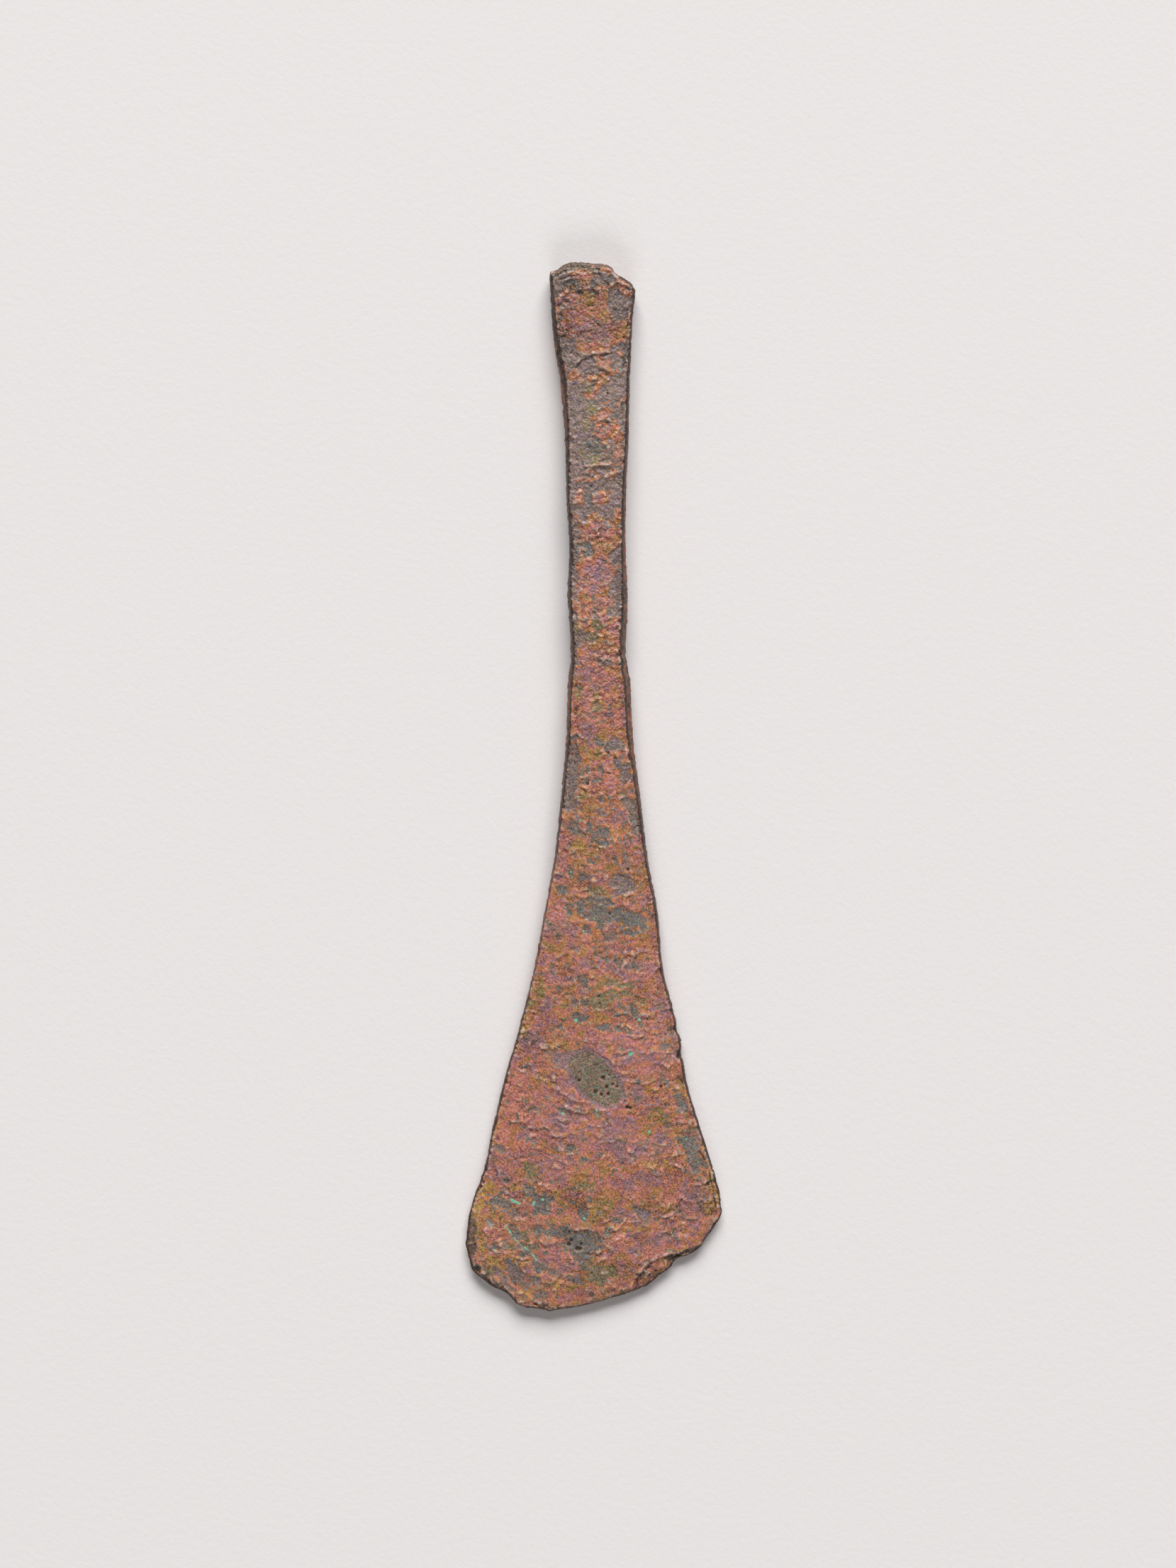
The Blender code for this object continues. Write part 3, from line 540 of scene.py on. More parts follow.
def terraces(field, steps, riser, lip):
    """The field in steps. A riser takes up its share of a step, and ends in a lip that falls away."""
    level = field * steps
    base = np.floor(level)
    part = level - base
    rise = (1 + lip) * fade(part, 1 - riser, 1)
    return (base + rise + lip * fade(part, LIP_FALL, 0)) / steps


def shingles(points, size, seed):
    """Scales that overlap towards the cutting edge: each swells, ends in a sharp drop, and fades out."""
    phase = 1.1 * lumps(points, 1.8 * size, seed, octaves=3) - points[:, 1] / (size * MM)
    row = np.floor(phase)
    part = phase - row
    own_noise = points + np.outer(row, (0.0, 0.0, 2.7 * size * MM))
    present = ease(0.35 + 1.6 * lumps(own_noise, 1.1 * size, seed + 1, stretch=(1.4, 1, 1)))
    return (part**1.5 - 0.4) * present


def inside(x, y, patches):
    """Millimetres that each point lies inside the nearest patch's edge, and below 0 outside."""
    best = np.full(len(x), -REACH)
    for cx, cy, half_length, half_width, turn in patches:
        c = math.cos(math.radians(turn))
        s = math.sin(math.radians(turn))
        along = ((x - cx) * c + (y - cy) * s) / half_length
        across = ((y - cy) * c - (x - cx) * s) / half_width
        depth = (1 - np.hypot(along, across)) * min(half_length, half_width)
        best = np.maximum(best, depth * PIXEL / MM)
    return np.minimum(best, REACH)


def inside_dots(x, y, dots):
    """Millimetres inside the nearest round mark's edge."""
    return inside(x, y, [(cx, cy, radius, radius, 0) for cx, cy, radius in dots])


def from_line(x, y, pixels):
    """Millimetres from each point to a line through the given pixels."""
    nearest = np.full(len(x), np.inf)
    for (x0, y0), (x1, y1) in zip(pixels, pixels[1:]):
        run_x = x1 - x0
        run_y = y1 - y0
        t = np.clip(((x - x0) * run_x + (y - y0) * run_y) / (run_x**2 + run_y**2), 0, 1)
        nearest = np.minimum(nearest, np.hypot(x - x0 - t * run_x, y - y0 - t * run_y))
    return nearest * PIXEL / MM


def below_line(x, y, pixels, margin=0):
    """Millimetres below a line of pixels, and a share that fades to 0 towards the line's ends."""
    xs, ys = zip(*pixels)
    ends = fade(x, xs[0] - margin, xs[0] - margin + END_FADE)
    ends *= fade(x, xs[-1] + margin, xs[-1] + margin - END_FADE)
    return (y - np.interp(x, xs, ys)) * PIXEL / MM, ends


def coordinates(mesh, what="vertices", attribute="co"):
    """A vector of each item of the mesh, as rows."""
    items = getattr(mesh, what)
    flat = np.empty(len(items) * 3)
    items.foreach_get(attribute, flat)
    return flat.reshape(-1, 3)


def store(mesh, name, values):
    """Keeps a number for each point under a name that the patina reads."""
    mesh.attributes.new(name, "FLOAT", "POINT").data.foreach_set("value", values.astype(float))


def fine_copy(settings):
    """A merged copy of the casting, made of even squares and thinned where it lies on the ground."""
    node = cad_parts[CASTING]
    bpy.ops.object.select_all(action="DESELECT")
    surface = node.copy()
    surface.data = node.data.copy()
    surface.parent = None
    surface.name = SURFACE
    bpy.context.scene.collection.objects.link(surface)
    bpy.context.view_layer.objects.active = surface
    surface.select_set(True)
    bpy.ops.object.mode_set(mode="EDIT")
    bpy.ops.mesh.select_all(action="SELECT")
    bpy.ops.mesh.remove_doubles(threshold=0.01 * MM)
    bpy.ops.object.mode_set(mode="OBJECT")
    remesh = surface.modifiers.new("even squares", "REMESH")
    remesh.mode = "VOXEL"
    remesh.voxel_size = settings.square
    bpy.ops.object.modifier_apply(modifier=remesh.name)
    thin_underside(surface, settings)
    bpy.ops.object.shade_smooth()
    return surface


def thin_underside(surface, settings):
    """Merges triangles of the underside until the whole surface keeps to its share of them."""
    facing = coordinates(surface.data, "vertex_normals", "vector")[:, 2]
    group = surface.vertex_groups.new(name="underside")
    group.add(np.nonzero(facing < UNDERSIDE_FACING)[0].tolist(), 1.0, "REPLACE")
    thin = surface.modifiers.new("thin underside", "DECIMATE")
    thin.vertex_group = group.name
    thin.ratio = settings.triangles / (2 * len(surface.data.polygons))
    bpy.ops.object.modifier_apply(modifier=thin.name)
    surface.vertex_groups.clear()


def plan_distance(points, targets):
    """Millimetres in plan from each point to the nearest target."""
    tree = kdtree.KDTree(len(targets))
    for k, (x, y, _) in enumerate(targets):
        tree.insert((x, y, 0), k)
    tree.balance()
    return np.array([tree.find((x, y, 0))[2] for x, y, _ in points]) / MM


class Ground:
    """The plain surface, its points, and what the relief and the patina need to know of them."""

    def __init__(self, mesh):
        self.points = coordinates(mesh)
        self.normals = coordinates(mesh, "vertex_normals", "vector")
        self.push_outline()
        self.x, self.y = photo_axes(self.points)
        self.wander = [WANDER * lumps(self.points, 2.4, seed, octaves=3) for seed in (1, 2)]

        # How far each point faces up, and where the surface is gritty or flakes
        self.facing = self.normals[:, 2]
        self.up = fade(self.facing, 0.3, 0.8)
        self.grit = fade(self.y, 1350, 850)
        self.flaking = ease(0.5 + 0.9 * lumps(self.points, 4.5, seed=11) + 0.2 * self.grit)

        # Millimetres to the outline, taken as where the wall stands upright, and inside the border of
        # the upper face, below 0 out on the wall
        self.edge = plan_distance(self.points, self.points[np.abs(self.facing) < 0.25])
        face = self.up > 0.5
        wall = ~face & (self.facing > -0.3)
        self.rim = np.full(len(self.points), -REACH)
        self.rim[face] = plan_distance(self.points[face], self.points[wall])
        self.rim[wall] = -plan_distance(self.points[wall], self.points[face])

        # Lumps the size of one scale, on points that are shifted a little
        shift = np.stack([lumps(self.points, 2.0, seed) for seed in (3, 4, 5)], 1)
        self.shifted = self.points + shift * 0.6 * MM
        self.scale = lumps(self.shifted, 1.3, seed=7, octaves=3, stretch=(1.15, 0.9, 1.0))

    def push_outline(self):
        """Moves the points at the corners and breaks where the real outline stands out."""
        x, y = photo_axes(self.points)
        for cx, cy, radius, right, down in GRABS:
            share = ease(1 - np.hypot(x - cx, y - cy) / radius)
            self.points[:, 0] += share * right * PIXEL
            self.points[:, 1] -= share * down * PIXEL

    def wandered(self, share=1.0):
        """The photograph's x and y of each point, moved by a share of a wander that frays edges."""
        return self.x + share * self.wander[0], self.y + share * self.wander[1]


def verdigris_mask(ground):
    """Millimetres inside the verdigris dots and the frayed verdigris lines."""
    mask = inside_dots(ground.x, ground.y, VERDIGRIS_DOTS)
    frayed = np.clip(0.75 + 1.4 * lumps(ground.points, 0.9, seed=13), 0.0, 1.3)
    for half_width, *pixels in VERDIGRIS_LINES:
        away = from_line(*ground.wandered(0.25), pixels)
        mask = np.maximum(mask, half_width * frayed * PIXEL / MM - away)
    return mask


def crack_depth_and_mask(ground):
    """Depth of the cracks in millimetres, and millimetres inside them."""
    broken = ease(0.8 + 1.5 * ground.scale)
    sunk = np.zeros(len(ground.points))
    mask = np.full(len(ground.points), -REACH)
    for half_width, depth, *pixels in CRACKS:
        away = from_line(*ground.wandered(0.5), pixels)
        sunk += depth * broken * ease(1.5 - away / half_width)
        mask = np.maximum(mask, half_width * broken - away)
    return sunk, mask


def patch_masks(ground):
    """Millimetres that each point lies inside the patches of each kind."""
    x, y = ground.wandered()
    masks = {name: inside(x, y, patches) for name, patches in FACE_PATCHES.items()}
    masks["mauve"] = np.minimum(masks["mauve"], -inside(x, y, CRUST))
    masks["sponge"] = inside(*ground.wandered(0.5), SPONGE)
    masks["halo"] = inside(*ground.wandered(0.5), SPONGE_HALO)
    masks["pit"] = inside_dots(ground.x, ground.y, PITS)
    masks["verdigris"] = verdigris_mask(ground)
    masks["crack"] = crack_depth_and_mask(ground)[1]
    for name, values in masks.items():
        masks[name] = np.where(ground.up > 0.5, values, -REACH)
    masks["crystals"] = inside(x, y, CRYSTALS)
    masks["russet"] = inside(x, y, RUSSET)
    return masks


def scaly_height(ground, masks, flake):
    """Height in millimetres of the crust, its scales and its grit. A flake is the height of a layer."""
    bare = np.maximum.reduce([masks[name] for name in ("slate", "mauve", "olive", "halo")])
    crusty = fade(bare, 0.175, -0.175)
    rough = 1 - 0.55 * fade(inside(*ground.wandered(), SMOOTH), -0.5, 0.5)
    rough *= (0.3 + ground.flaking) * (0.45 + 0.55 * crusty) * (0.95 + 0.15 * ground.grit)
    height = SWELL * lumps(ground.points, 8.0, seed=8) + CRUST_RISE * crusty
    for size, seed, layers, fewer in SCALES:
        height += flake * (layers - fewer * ground.grit) * shingles(ground.shifted, size, seed) * rough
    height += TERRACE * terraces(ground.scale, 1.5, 0.3, 0.4) * rough
    height += WALL_LUMPS * (1 - ground.up) * lumps(ground.points, 1.7, seed=12, octaves=3)
    gritty = 0.04 + 0.08 * ground.grit * np.minimum(rough, 1)
    return height + gritty * lumps(ground.points, 0.95, seed=9)


def broken_height(ground):
    """Height in millimetres of the lips, ledges, dents, cracks and chips that the photograph shows."""
    x = ground.x
    y = ground.wandered(0.3)[1]
    height = -crack_depth_and_mask(ground)[0]
    for lip, *pixels in LIPS:
        behind, ends = below_line(x, y, pixels, margin=3)
        swell = np.exp(np.minimum(behind, 0) / LIP_SWELL)
        profile = np.where(behind < 0, swell, fade(behind, LIP_DROP, 0))
        height += LIP_SHARE * lip * ground.up * ends * profile
    for drop, side, *pixels in LEDGES:
        below, ends = below_line(x, y, pixels)
        height -= drop * ground.up * fade(below * side, 0, 0.3) * ends
    for cx, cy, radius, depth in HOLLOWS:
        height -= depth * ease(1.2 - np.hypot(x - cx, ground.y - cy) / radius)
    chips = ease(2.2 * lumps(ground.points, 1.7, seed=10, octaves=3) - 0.5)
    return height - CHIP_DEPTH * chips * fade(ground.edge, 2.2, 0.8)


def darkening_with_underside_shade(ground, dusk, right):
    """How much darker than its colour each place is: in the darker places, near the rim on the right,
    towards the butt and the cutting edge, and as painted shade on the underside; below 0 in the lighter
    places.
    """
    darker = np.maximum(0.8 * fade(dusk, -0.5, 1.3), right * fade(ground.rim, 1.5, 0.6))
    # Painted shade on the underside, where the faces point down
    darker += 0.8 * fade(ground.facing, 0, -1)
    darker += 0.4 * fade(ground.y, 500, 450) + 0.18 * fade(ground.y, 1600, 1660)
    return darker - 0.75 * fade(inside(*ground.wandered(), LIGHTER_PLACES), -0.5, 1.3)


def store_masks(mesh, ground, masks):
    """Keeps every mask for the patina, with the darkening, the lines of painted shade along the arris and
    the wear worked out from the plan.
    """
    x = ground.x
    y = ground.y
    right = fade(x, 850, 870) * fade(y, 1790, 1750)
    left_arris = fade(x, 830, 820) * fade(y, 385, 405) * fade(y, 570, 540)
    thin_arris = fade(x, 810, 790) * fade(y, 1150, 1230) * fade(y, 1460, 1400)
    butt_end = fade(y, 394, 386)
    worn = fade(ground.rim, 0.7, 0.15) * ground.grit * fade(y, 540, 580) * (1 - right)
    # How far the dark line of painted shade along the arris reaches: more on the right and at the left
    # arris of the shank, less at the thin arris and at the butt's end
    line = 0.03 + 0.03 * right + 0.2 * left_arris - 0.14 * thin_arris - 0.34 * butt_end
    masks["dusk"] = darkening_with_underside_shade(ground, masks["dusk"], right)
    masks["line"] = line
    masks["wear"] = worn
    masks["flaking"] = ground.flaking
    masks["rim"] = ground.rim
    masks["grit"] = ground.grit
    masks["side"] = fade(np.abs(ground.facing), 0.6, 0.4)
    for name, values in masks.items():
        store(mesh, name, values)


def work_surface(surface, settings):
    """Moves the points into the corroded relief, and stores what the patina reads."""
    mesh = surface.data
    ground = Ground(mesh)
    masks = patch_masks(ground)
    height = scaly_height(ground, masks, settings.flake_height / MM) + broken_height(ground)
    for name, (rise, start, end) in MASK_HEIGHTS.items():
        height += rise * fade(masks[name], start, end)
    height = height * (0.6 + 0.4 * ground.up) - FACE_DROP * ground.up
    store_masks(mesh, ground, masks)

    # Crests are pressed down softly under the top of the casting, and nothing goes below the paper
    moved = ground.points + ground.normals * (height * MM)[:, None]
    over = np.maximum(moved[:, 2] - settings.crest, 0.0)
    moved[:, 2] = np.clip(moved[:, 2] - over + settings.play * np.tanh(over / settings.play), 0.0, None)
    mesh.vertices.foreach_set("co", moved.ravel())
    mesh.update()
    store(mesh, "cavity", hollowness(mesh, moved))


def hollowness(mesh, points):
    """How far each point lies under the middle of its neighbourhood, in hundredths of a millimetre."""
    ends = np.empty(len(mesh.edges) * 2, int)
    mesh.edges.foreach_get("vertices", ends)
    one, other = ends.reshape(-1, 2).T
    normals = coordinates(mesh, "vertex_normals", "vector")
    count = np.bincount(np.concatenate((one, other)), minlength=len(points))[:, None]
    spread = points.copy()
    for _ in range(SPREAD_ROUNDS):
        total = np.zeros_like(points)
        np.add.at(total, one, spread[other])
        np.add.at(total, other, spread[one])
        spread = total / count
    return ((spread - points) * normals).sum(1) / MM * 100


def add(tree, kind, sockets=None, **settings):
    """A new node. Its sockets are given by name or number: a socket to link, or a plain value."""
    made = tree.nodes.new(kind)
    for name, value in settings.items():
        setattr(made, name, value)
    for key, value in (sockets or {}).items():
        if isinstance(value, bpy.types.NodeSocket):
            tree.links.new(value, made.inputs[key])
        else:
            made.inputs[key].default_value = value
    return made


def maths(tree, operation, *values):
    """The result of a sum on values or sockets."""
    return add(tree, "ShaderNodeMath", dict(enumerate(values)), operation=operation).outputs[0]


def blend(tree, share, under, over, mode="MIX"):
    """The colour over laid on the colour under by a share."""
    colours = {0: share, 6: under, 7: over}
    return add(tree, "ShaderNodeMix", colours, data_type="RGBA", blend_type=mode).outputs[2]


def paint(red, green, blue):
    """A colour given in the 0 to 255 of a screen, as the linear light that a shader takes."""
    def linear(value):
        value /= 255
        return value / 12.92 if value <= 0.04045 else ((value + 0.055) / 1.055) ** 2.4

    return linear(red), linear(green), linear(blue), 1.0


def new_group(name, inputs, outputs):
    """An empty shader node group, its input node and its output node."""
    tree = bpy.data.node_groups.new(name, "ShaderNodeTree")
    for label, value in inputs.items():
        socket = tree.interface.new_socket(label, in_out="INPUT", socket_type="NodeSocketFloat")
        socket.default_value = value
    for label, kind in outputs.items():
        tree.interface.new_socket(label, in_out="OUTPUT", socket_type=kind)
    return tree, tree.nodes.new("NodeGroupInput").outputs, tree.nodes.new("NodeGroupOutput").inputs


def noise_node(tree, lumps_per_metre, detail, roughness, offset=(0, 0, 0), distortion=0.0):
    """Noise on the object's own coordinates."""
    where = add(tree, "ShaderNodeTexCoord").outputs["Object"]
    moved = add(tree, "ShaderNodeVectorMath", {0: where, 1: offset}, operation="ADD").outputs[0]
    turn = {"Vector": moved, "Rotation": NOISE_TURN}
    sockets = {
        "Vector": add(tree, "ShaderNodeVectorRotate", turn, rotation_type="EULER_XYZ").outputs[0],
        "Scale": lumps_per_metre,
        "Detail": detail,
        "Roughness": roughness,
        "Distortion": distortion,
    }
    return add(tree, "ShaderNodeTexNoise", sockets).outputs[0]


def deviation(tree, noise_value, spread):
    """A noise value as standard deviations from its middle."""
    return maths(tree, "DIVIDE", maths(tree, "SUBTRACT", noise_value, 0.5), spread)


def soft_step(tree, value, low, high):
    """From 0 at low to 1 at high, with a soft start and end."""
    sockets = {0: value, 1: low, 2: high, 3: 0.0, 4: 1.0}
    return add(tree, "ShaderNodeMapRange", sockets, interpolation_type="SMOOTHSTEP").outputs[0]


def ragged_patch_group():
    """A patch's mask with a ragged edge, from the millimetres that a point lies inside it."""
    tree, given, result = new_group(
        "ragged_patch",
        {"Inside": 0.0, "Raggedness": 0.3, "Softness": 0.1, "Lumps per Metre": 900.0},
        {"Mask": "NodeSocketFloat", "Ragged Inside": "NodeSocketFloat"},
    )
    ragged = deviation(tree, noise_node(tree, given["Lumps per Metre"], 3.0, 0.8), 0.07)
    moved = maths(tree, "MULTIPLY_ADD", ragged, given["Raggedness"], given["Inside"])
    low = maths(tree, "MULTIPLY", given["Softness"], -1.0)
    tree.links.new(soft_step(tree, moved, low, given["Softness"]), result["Mask"])
    tree.links.new(moved, result["Ragged Inside"])
    return tree


def mottle_group():
    """Bands of oxide colours round lumps of many sizes. Tone moves them towards ochre."""
    tree, given, result = new_group(
        "oxide_mottle",
        {"Tone": 0.0, "Lumps per Metre": 420.0},
        {"Color": "NodeSocketColor"},
    )
    blotches = noise_node(tree, given["Lumps per Metre"], 3.5, 0.65, distortion=0.8)
    specks = deviation(tree, noise_node(tree, *NOISES["specks"]), 0.09)
    level = maths(tree, "MULTIPLY_ADD", deviation(tree, blotches, 0.078), 0.95, given["Tone"])
    level = maths(tree, "MULTIPLY_ADD", specks, 0.32, level)
    ramp = tree.nodes.new("ShaderNodeValToRGB")
    tree.links.new(maths(tree, "MULTIPLY_ADD", level, 1 / BAND_SPAN, 0.5), ramp.inputs[0])
    elements = ramp.color_ramp.elements
    while len(elements) < len(BANDS):
        elements.new(0.5)
    for element, (band_level, *colour) in zip(elements, BANDS):
        element.position = band_level / BAND_SPAN + 0.5
        element.color = paint(*colour)
    tree.links.new(ramp.outputs[0], result["Color"])
    return tree


def flaked_height_group():
    """Height of thin scales that overlap, in steps: flat, with a sharp riser and a lip."""
    tree, given, result = new_group(
        "flaked_height",
        {"Lumps per Metre": 700.0, "Steps": 5.0, "Riser": 0.25, "Lip": 0.5},
        {"Height": "NodeSocketFloat"},
    )
    lumpy = noise_node(tree, given["Lumps per Metre"], 2.0, 0.55, (0.6, 0.2, 0), 0.8)
    level = maths(tree, "MULTIPLY", lumpy, given["Steps"])
    part = maths(tree, "FRACT", level)
    start = maths(tree, "SUBTRACT", 1.0, given["Riser"])
    top = maths(tree, "ADD", given["Lip"], 1.0)
    rise = maths(tree, "MULTIPLY", soft_step(tree, part, start, 1.0), top)
    fall = maths(tree, "MULTIPLY", soft_step(tree, part, LIP_FALL, 0.0), given["Lip"])
    height = maths(tree, "ADD", maths(tree, "FLOOR", level), maths(tree, "ADD", rise, fall))
    tree.links.new(height, result["Height"])
    return tree


class PatinaNodes:
    """The patina's node tree, with the noises and masks that several of its layers share."""

    def __init__(self, tree):
        self.tree = tree
        self.ragged_patch = ragged_patch_group()
        self.hue = soft_step(tree, noise_node(tree, *NOISES["hue"]), 0.4, 0.6)
        flecks = noise_node(tree, *NOISES["flecks"])
        self.fleck = soft_step(tree, flecks, 0.36, 0.64)
        self.sparse_fleck = soft_step(tree, flecks, 0.47, 0.64)
        self.grain = self.uneven("grain", 0.1)
        self.cavity = self.attribute("cavity")
        self.grit = self.attribute("grit")
        self.side = self.attribute("side")

    def attribute(self, name):
        """What the surface stores under a name."""
        return add(self.tree, "ShaderNodeAttribute", attribute_name=name).outputs["Fac"]

    def uneven(self, name, spread):
        """A named noise, as standard deviations from its middle."""
        return deviation(self.tree, noise_node(self.tree, *NOISES[name]), spread)

    def maths(self, operation, *values):
        """The result of a sum on values or sockets."""
        return maths(self.tree, operation, *values)

    def patch(self, inside_it, raggedness, softness, lumps_per_metre=900.0, output="Mask"):
        """A mask with a ragged edge, from a stored mask's name or a socket."""
        if isinstance(inside_it, str):
            inside_it = self.attribute(inside_it)
        node = self.tree.nodes.new("ShaderNodeGroup")
        node.node_tree = self.ragged_patch
        self.tree.links.new(inside_it, node.inputs["Inside"])
        node.inputs["Raggedness"].default_value = raggedness
        node.inputs["Softness"].default_value = softness
        node.inputs["Lumps per Metre"].default_value = lumps_per_metre
        return node.outputs[output]

    def step(self, value, low, high, most=None):
        """A soft step from low to high, which stops at a share where one is given."""
        mask = soft_step(self.tree, value, low, high)
        return mask if most is None else maths(self.tree, "MULTIPLY", mask, most)

    def blend(self, share, under, over, mode="MIX"):
        """The colour over laid on the colour under by a share."""
        return blend(self.tree, share, under, over, mode)


def crust_colour(nodes):
    """The mottled crust, with coral and yellow places."""
    tone = BASE_TONE
    for name, softness, move in TONES:
        tone = nodes.maths("MULTIPLY_ADD", nodes.patch(name, 0.4, softness), move, tone)
    crust = nodes.tree.nodes.new("ShaderNodeGroup")
    crust.node_tree = mottle_group()
    nodes.tree.links.new(tone, crust.inputs["Tone"])
    coral = nodes.blend(nodes.fleck, paint(174, 104, 96), paint(190, 122, 104))
    coral_share = nodes.maths("MULTIPLY", nodes.patch("coral", 0.4, 0.4), 0.65)
    colour = nodes.blend(coral_share, crust.outputs["Color"], coral)
    yellow_share = nodes.maths("MULTIPLY", nodes.patch("yellow", 0.4, 0.3), 0.9)
    return nodes.blend(yellow_share, colour, paint(170, 134, 70))


def with_windows(nodes, colour, settings):
    """The windows in the crust, with an orange rim: the drawn ones, and small ones strewn by chance."""
    strewn = nodes.maths("MULTIPLY_ADD", nodes.uneven("chance", 0.08), 0.35, -0.66)
    slate = nodes.maths("MAXIMUM", nodes.attribute("slate"), strewn)
    slate = nodes.patch(slate, 0.33, 0.1, 1000.0, "Ragged Inside")
    mauve = nodes.patch("mauve", 0.28, 0.1, 700.0, "Ragged Inside")
    olive = nodes.patch("olive", 0.3, 0.1, 900.0, "Ragged Inside")
    window = nodes.maths("MAXIMUM", nodes.maths("MAXIMUM", slate, mauve), olive)
    rim_colour = nodes.blend(nodes.hue, paint(192, 110, 62), paint(170, 120, 70))
    colour = nodes.blend(nodes.step(window, -0.5, -0.2, 0.75), colour, rim_colour)

    mauve_colour = nodes.blend(nodes.hue, settings.mauve, paint(138, 117, 120))
    few_flecks = nodes.maths("MULTIPLY", nodes.fleck, 0.6)
    mauve_colour = nodes.blend(few_flecks, mauve_colour, paint(138, 107, 92))
    olive_colour = nodes.blend(nodes.fleck, settings.olive, paint(144, 112, 92))
    slate_colour = nodes.blend(nodes.sparse_fleck, settings.slate, paint(136, 105, 90))
    colour = nodes.blend(nodes.step(mauve, -0.08, 0.08), colour, mauve_colour)
    colour = nodes.blend(nodes.step(olive, -0.2, 0.2), colour, olive_colour)
    return nodes.blend(nodes.step(slate, -0.12, 0.06), colour, slate_colour)


def with_flecked_patches(nodes, colour):
    """The spongy spots with their halo, the ground edge, and charcoal places."""
    for name, raggedness, softness, main, flecks in FLECKED:
        flecked = nodes.blend(nodes.fleck, paint(*main), paint(*flecks))
        colour = nodes.blend(nodes.patch(name, raggedness, softness), colour, flecked)
    return colour


def with_grain(nodes, colour):
    """Fine grain, painted shade in the hollows, black specks, and pale crests that are partly painted
    highlight and partly wear.
    """
    # Painted shade in the hollows and painted light on the crests, from how hollow each point is
    tone_and_shade = nodes.maths("MULTIPLY_ADD", nodes.cavity, -0.03, 1.0)
    tone_and_shade = nodes.maths("MULTIPLY_ADD", nodes.grain, 0.25, tone_and_shade)
    tone_and_shade = add(nodes.tree, "ShaderNodeClamp", {0: tone_and_shade, 1: 0.3, 2: 1.6}).outputs[0]
    tone_and_shade = nodes.maths("MULTIPLY_ADD", nodes.uneven("clouds", 0.085), 0.07, tone_and_shade)
    # Darker places, and painted shade on the underside
    tone_and_shade = nodes.maths("MULTIPLY_ADD", nodes.attribute("dusk"), -0.22, tone_and_shade)
    yellowing = nodes.uneven("yellowing", 0.1)
    blue = nodes.maths("MULTIPLY", tone_and_shade, nodes.maths("MULTIPLY_ADD", yellowing, -0.18, 1.0))
    red = nodes.maths("MULTIPLY", tone_and_shade, nodes.maths("MULTIPLY_ADD", yellowing, 0.03, 1.0))
    tint = add(nodes.tree, "ShaderNodeCombineColor", {0: red, 1: tone_and_shade, 2: blue}).outputs[0]
    colour = nodes.blend(1.0, colour, tint, "MULTIPLY")
    gritty = nodes.maths("MULTIPLY_ADD", nodes.grit, 0.5, nodes.grain)
    black = nodes.maths("ADD", gritty, nodes.maths("MULTIPLY", nodes.cavity, 0.12))
    colour = nodes.blend(nodes.step(black, 2.3, 3.1, 0.8), colour, paint(58, 46, 40))
    # Pale crests: painted highlights where the surface stands proud, with wear near the rim
    crest = nodes.maths("MULTIPLY_ADD", nodes.cavity, -0.3, nodes.attribute("wear"))
    pale = nodes.maths("SUBTRACT", crest, nodes.grain)
    return nodes.blend(nodes.step(pale, 2.1, 3.4, 0.65), colour, paint(212, 188, 172))


def with_small_marks(nodes, colour, settings):
    """Verdigris, casting pits and cracks."""
    colour = nodes.blend(nodes.step(nodes.attribute("verdigris"), -0.08, 0.08), colour, settings.verdigris)
    colour = nodes.blend(nodes.step(nodes.attribute("pit"), -0.1, 0.1), colour, paint(62, 44, 30))
    return nodes.blend(nodes.step(nodes.attribute("crack"), -0.06, 0.04, 0.8), colour, paint(60, 46, 42))


def with_walls(nodes, colour, settings):
    """The walls, the crystals of the butt's break, and the dark line of painted shade round the upper
    face.
    """
    streaks = soft_step(nodes.tree, noise_node(nodes.tree, *NOISES["streaks"]), 0.4, 0.6)
    rusty = nodes.blend(nodes.patch("russet", 0.5, 0.5), paint(112, 86, 72), paint(164, 92, 58))
    colour = nodes.blend(nodes.side, colour, nodes.blend(streaks, settings.wall, rusty))
    crystals = nodes.blend(nodes.sparse_fleck, paint(60, 54, 42), paint(124, 114, 94))
    crystal_share = nodes.maths("MULTIPLY_ADD", nodes.side, -0.5, 0.9)
    crystal_share = nodes.maths("MULTIPLY", crystal_share, nodes.patch("crystals", 0.4, 0.3))
    colour = nodes.blend(crystal_share, colour, crystals)
    # Painted shade: a dark line along the arris, where the upper face turns down into the wall
    off_rim = nodes.maths("ABSOLUTE", nodes.maths("ADD", nodes.attribute("rim"), 0.08))
    off_rim = nodes.maths("MULTIPLY_ADD", nodes.uneven("arris_shade", 0.08), 0.06, off_rim)
    off_rim = nodes.maths("SUBTRACT", off_rim, nodes.attribute("line"))
    return nodes.blend(nodes.step(off_rim, 0.36, 0.06, 0.93), colour, settings.arris_shade)


def patina_bump(nodes):
    """The finest relief: thin scales, and grit that is coarser towards the butt."""
    scales = nodes.tree.nodes.new("ShaderNodeGroup")
    scales.node_tree = flaked_height_group()
    fine = noise_node(nodes.tree, *NOISES["fine"])
    scaly = nodes.maths("MULTIPLY_ADD", nodes.attribute("flaking"), 0.03, 0.01)
    height = nodes.maths("MULTIPLY", scales.outputs["Height"], scaly)
    gritty = nodes.maths("MULTIPLY_ADD", nodes.grit, 0.35, 0.18)
    height = nodes.maths("MULTIPLY_ADD", fine, gritty, height)
    bump = {"Strength": 1.0, "Distance": MM, "Height": height}
    return add(nodes.tree, "ShaderNodeBump", bump).outputs[0]


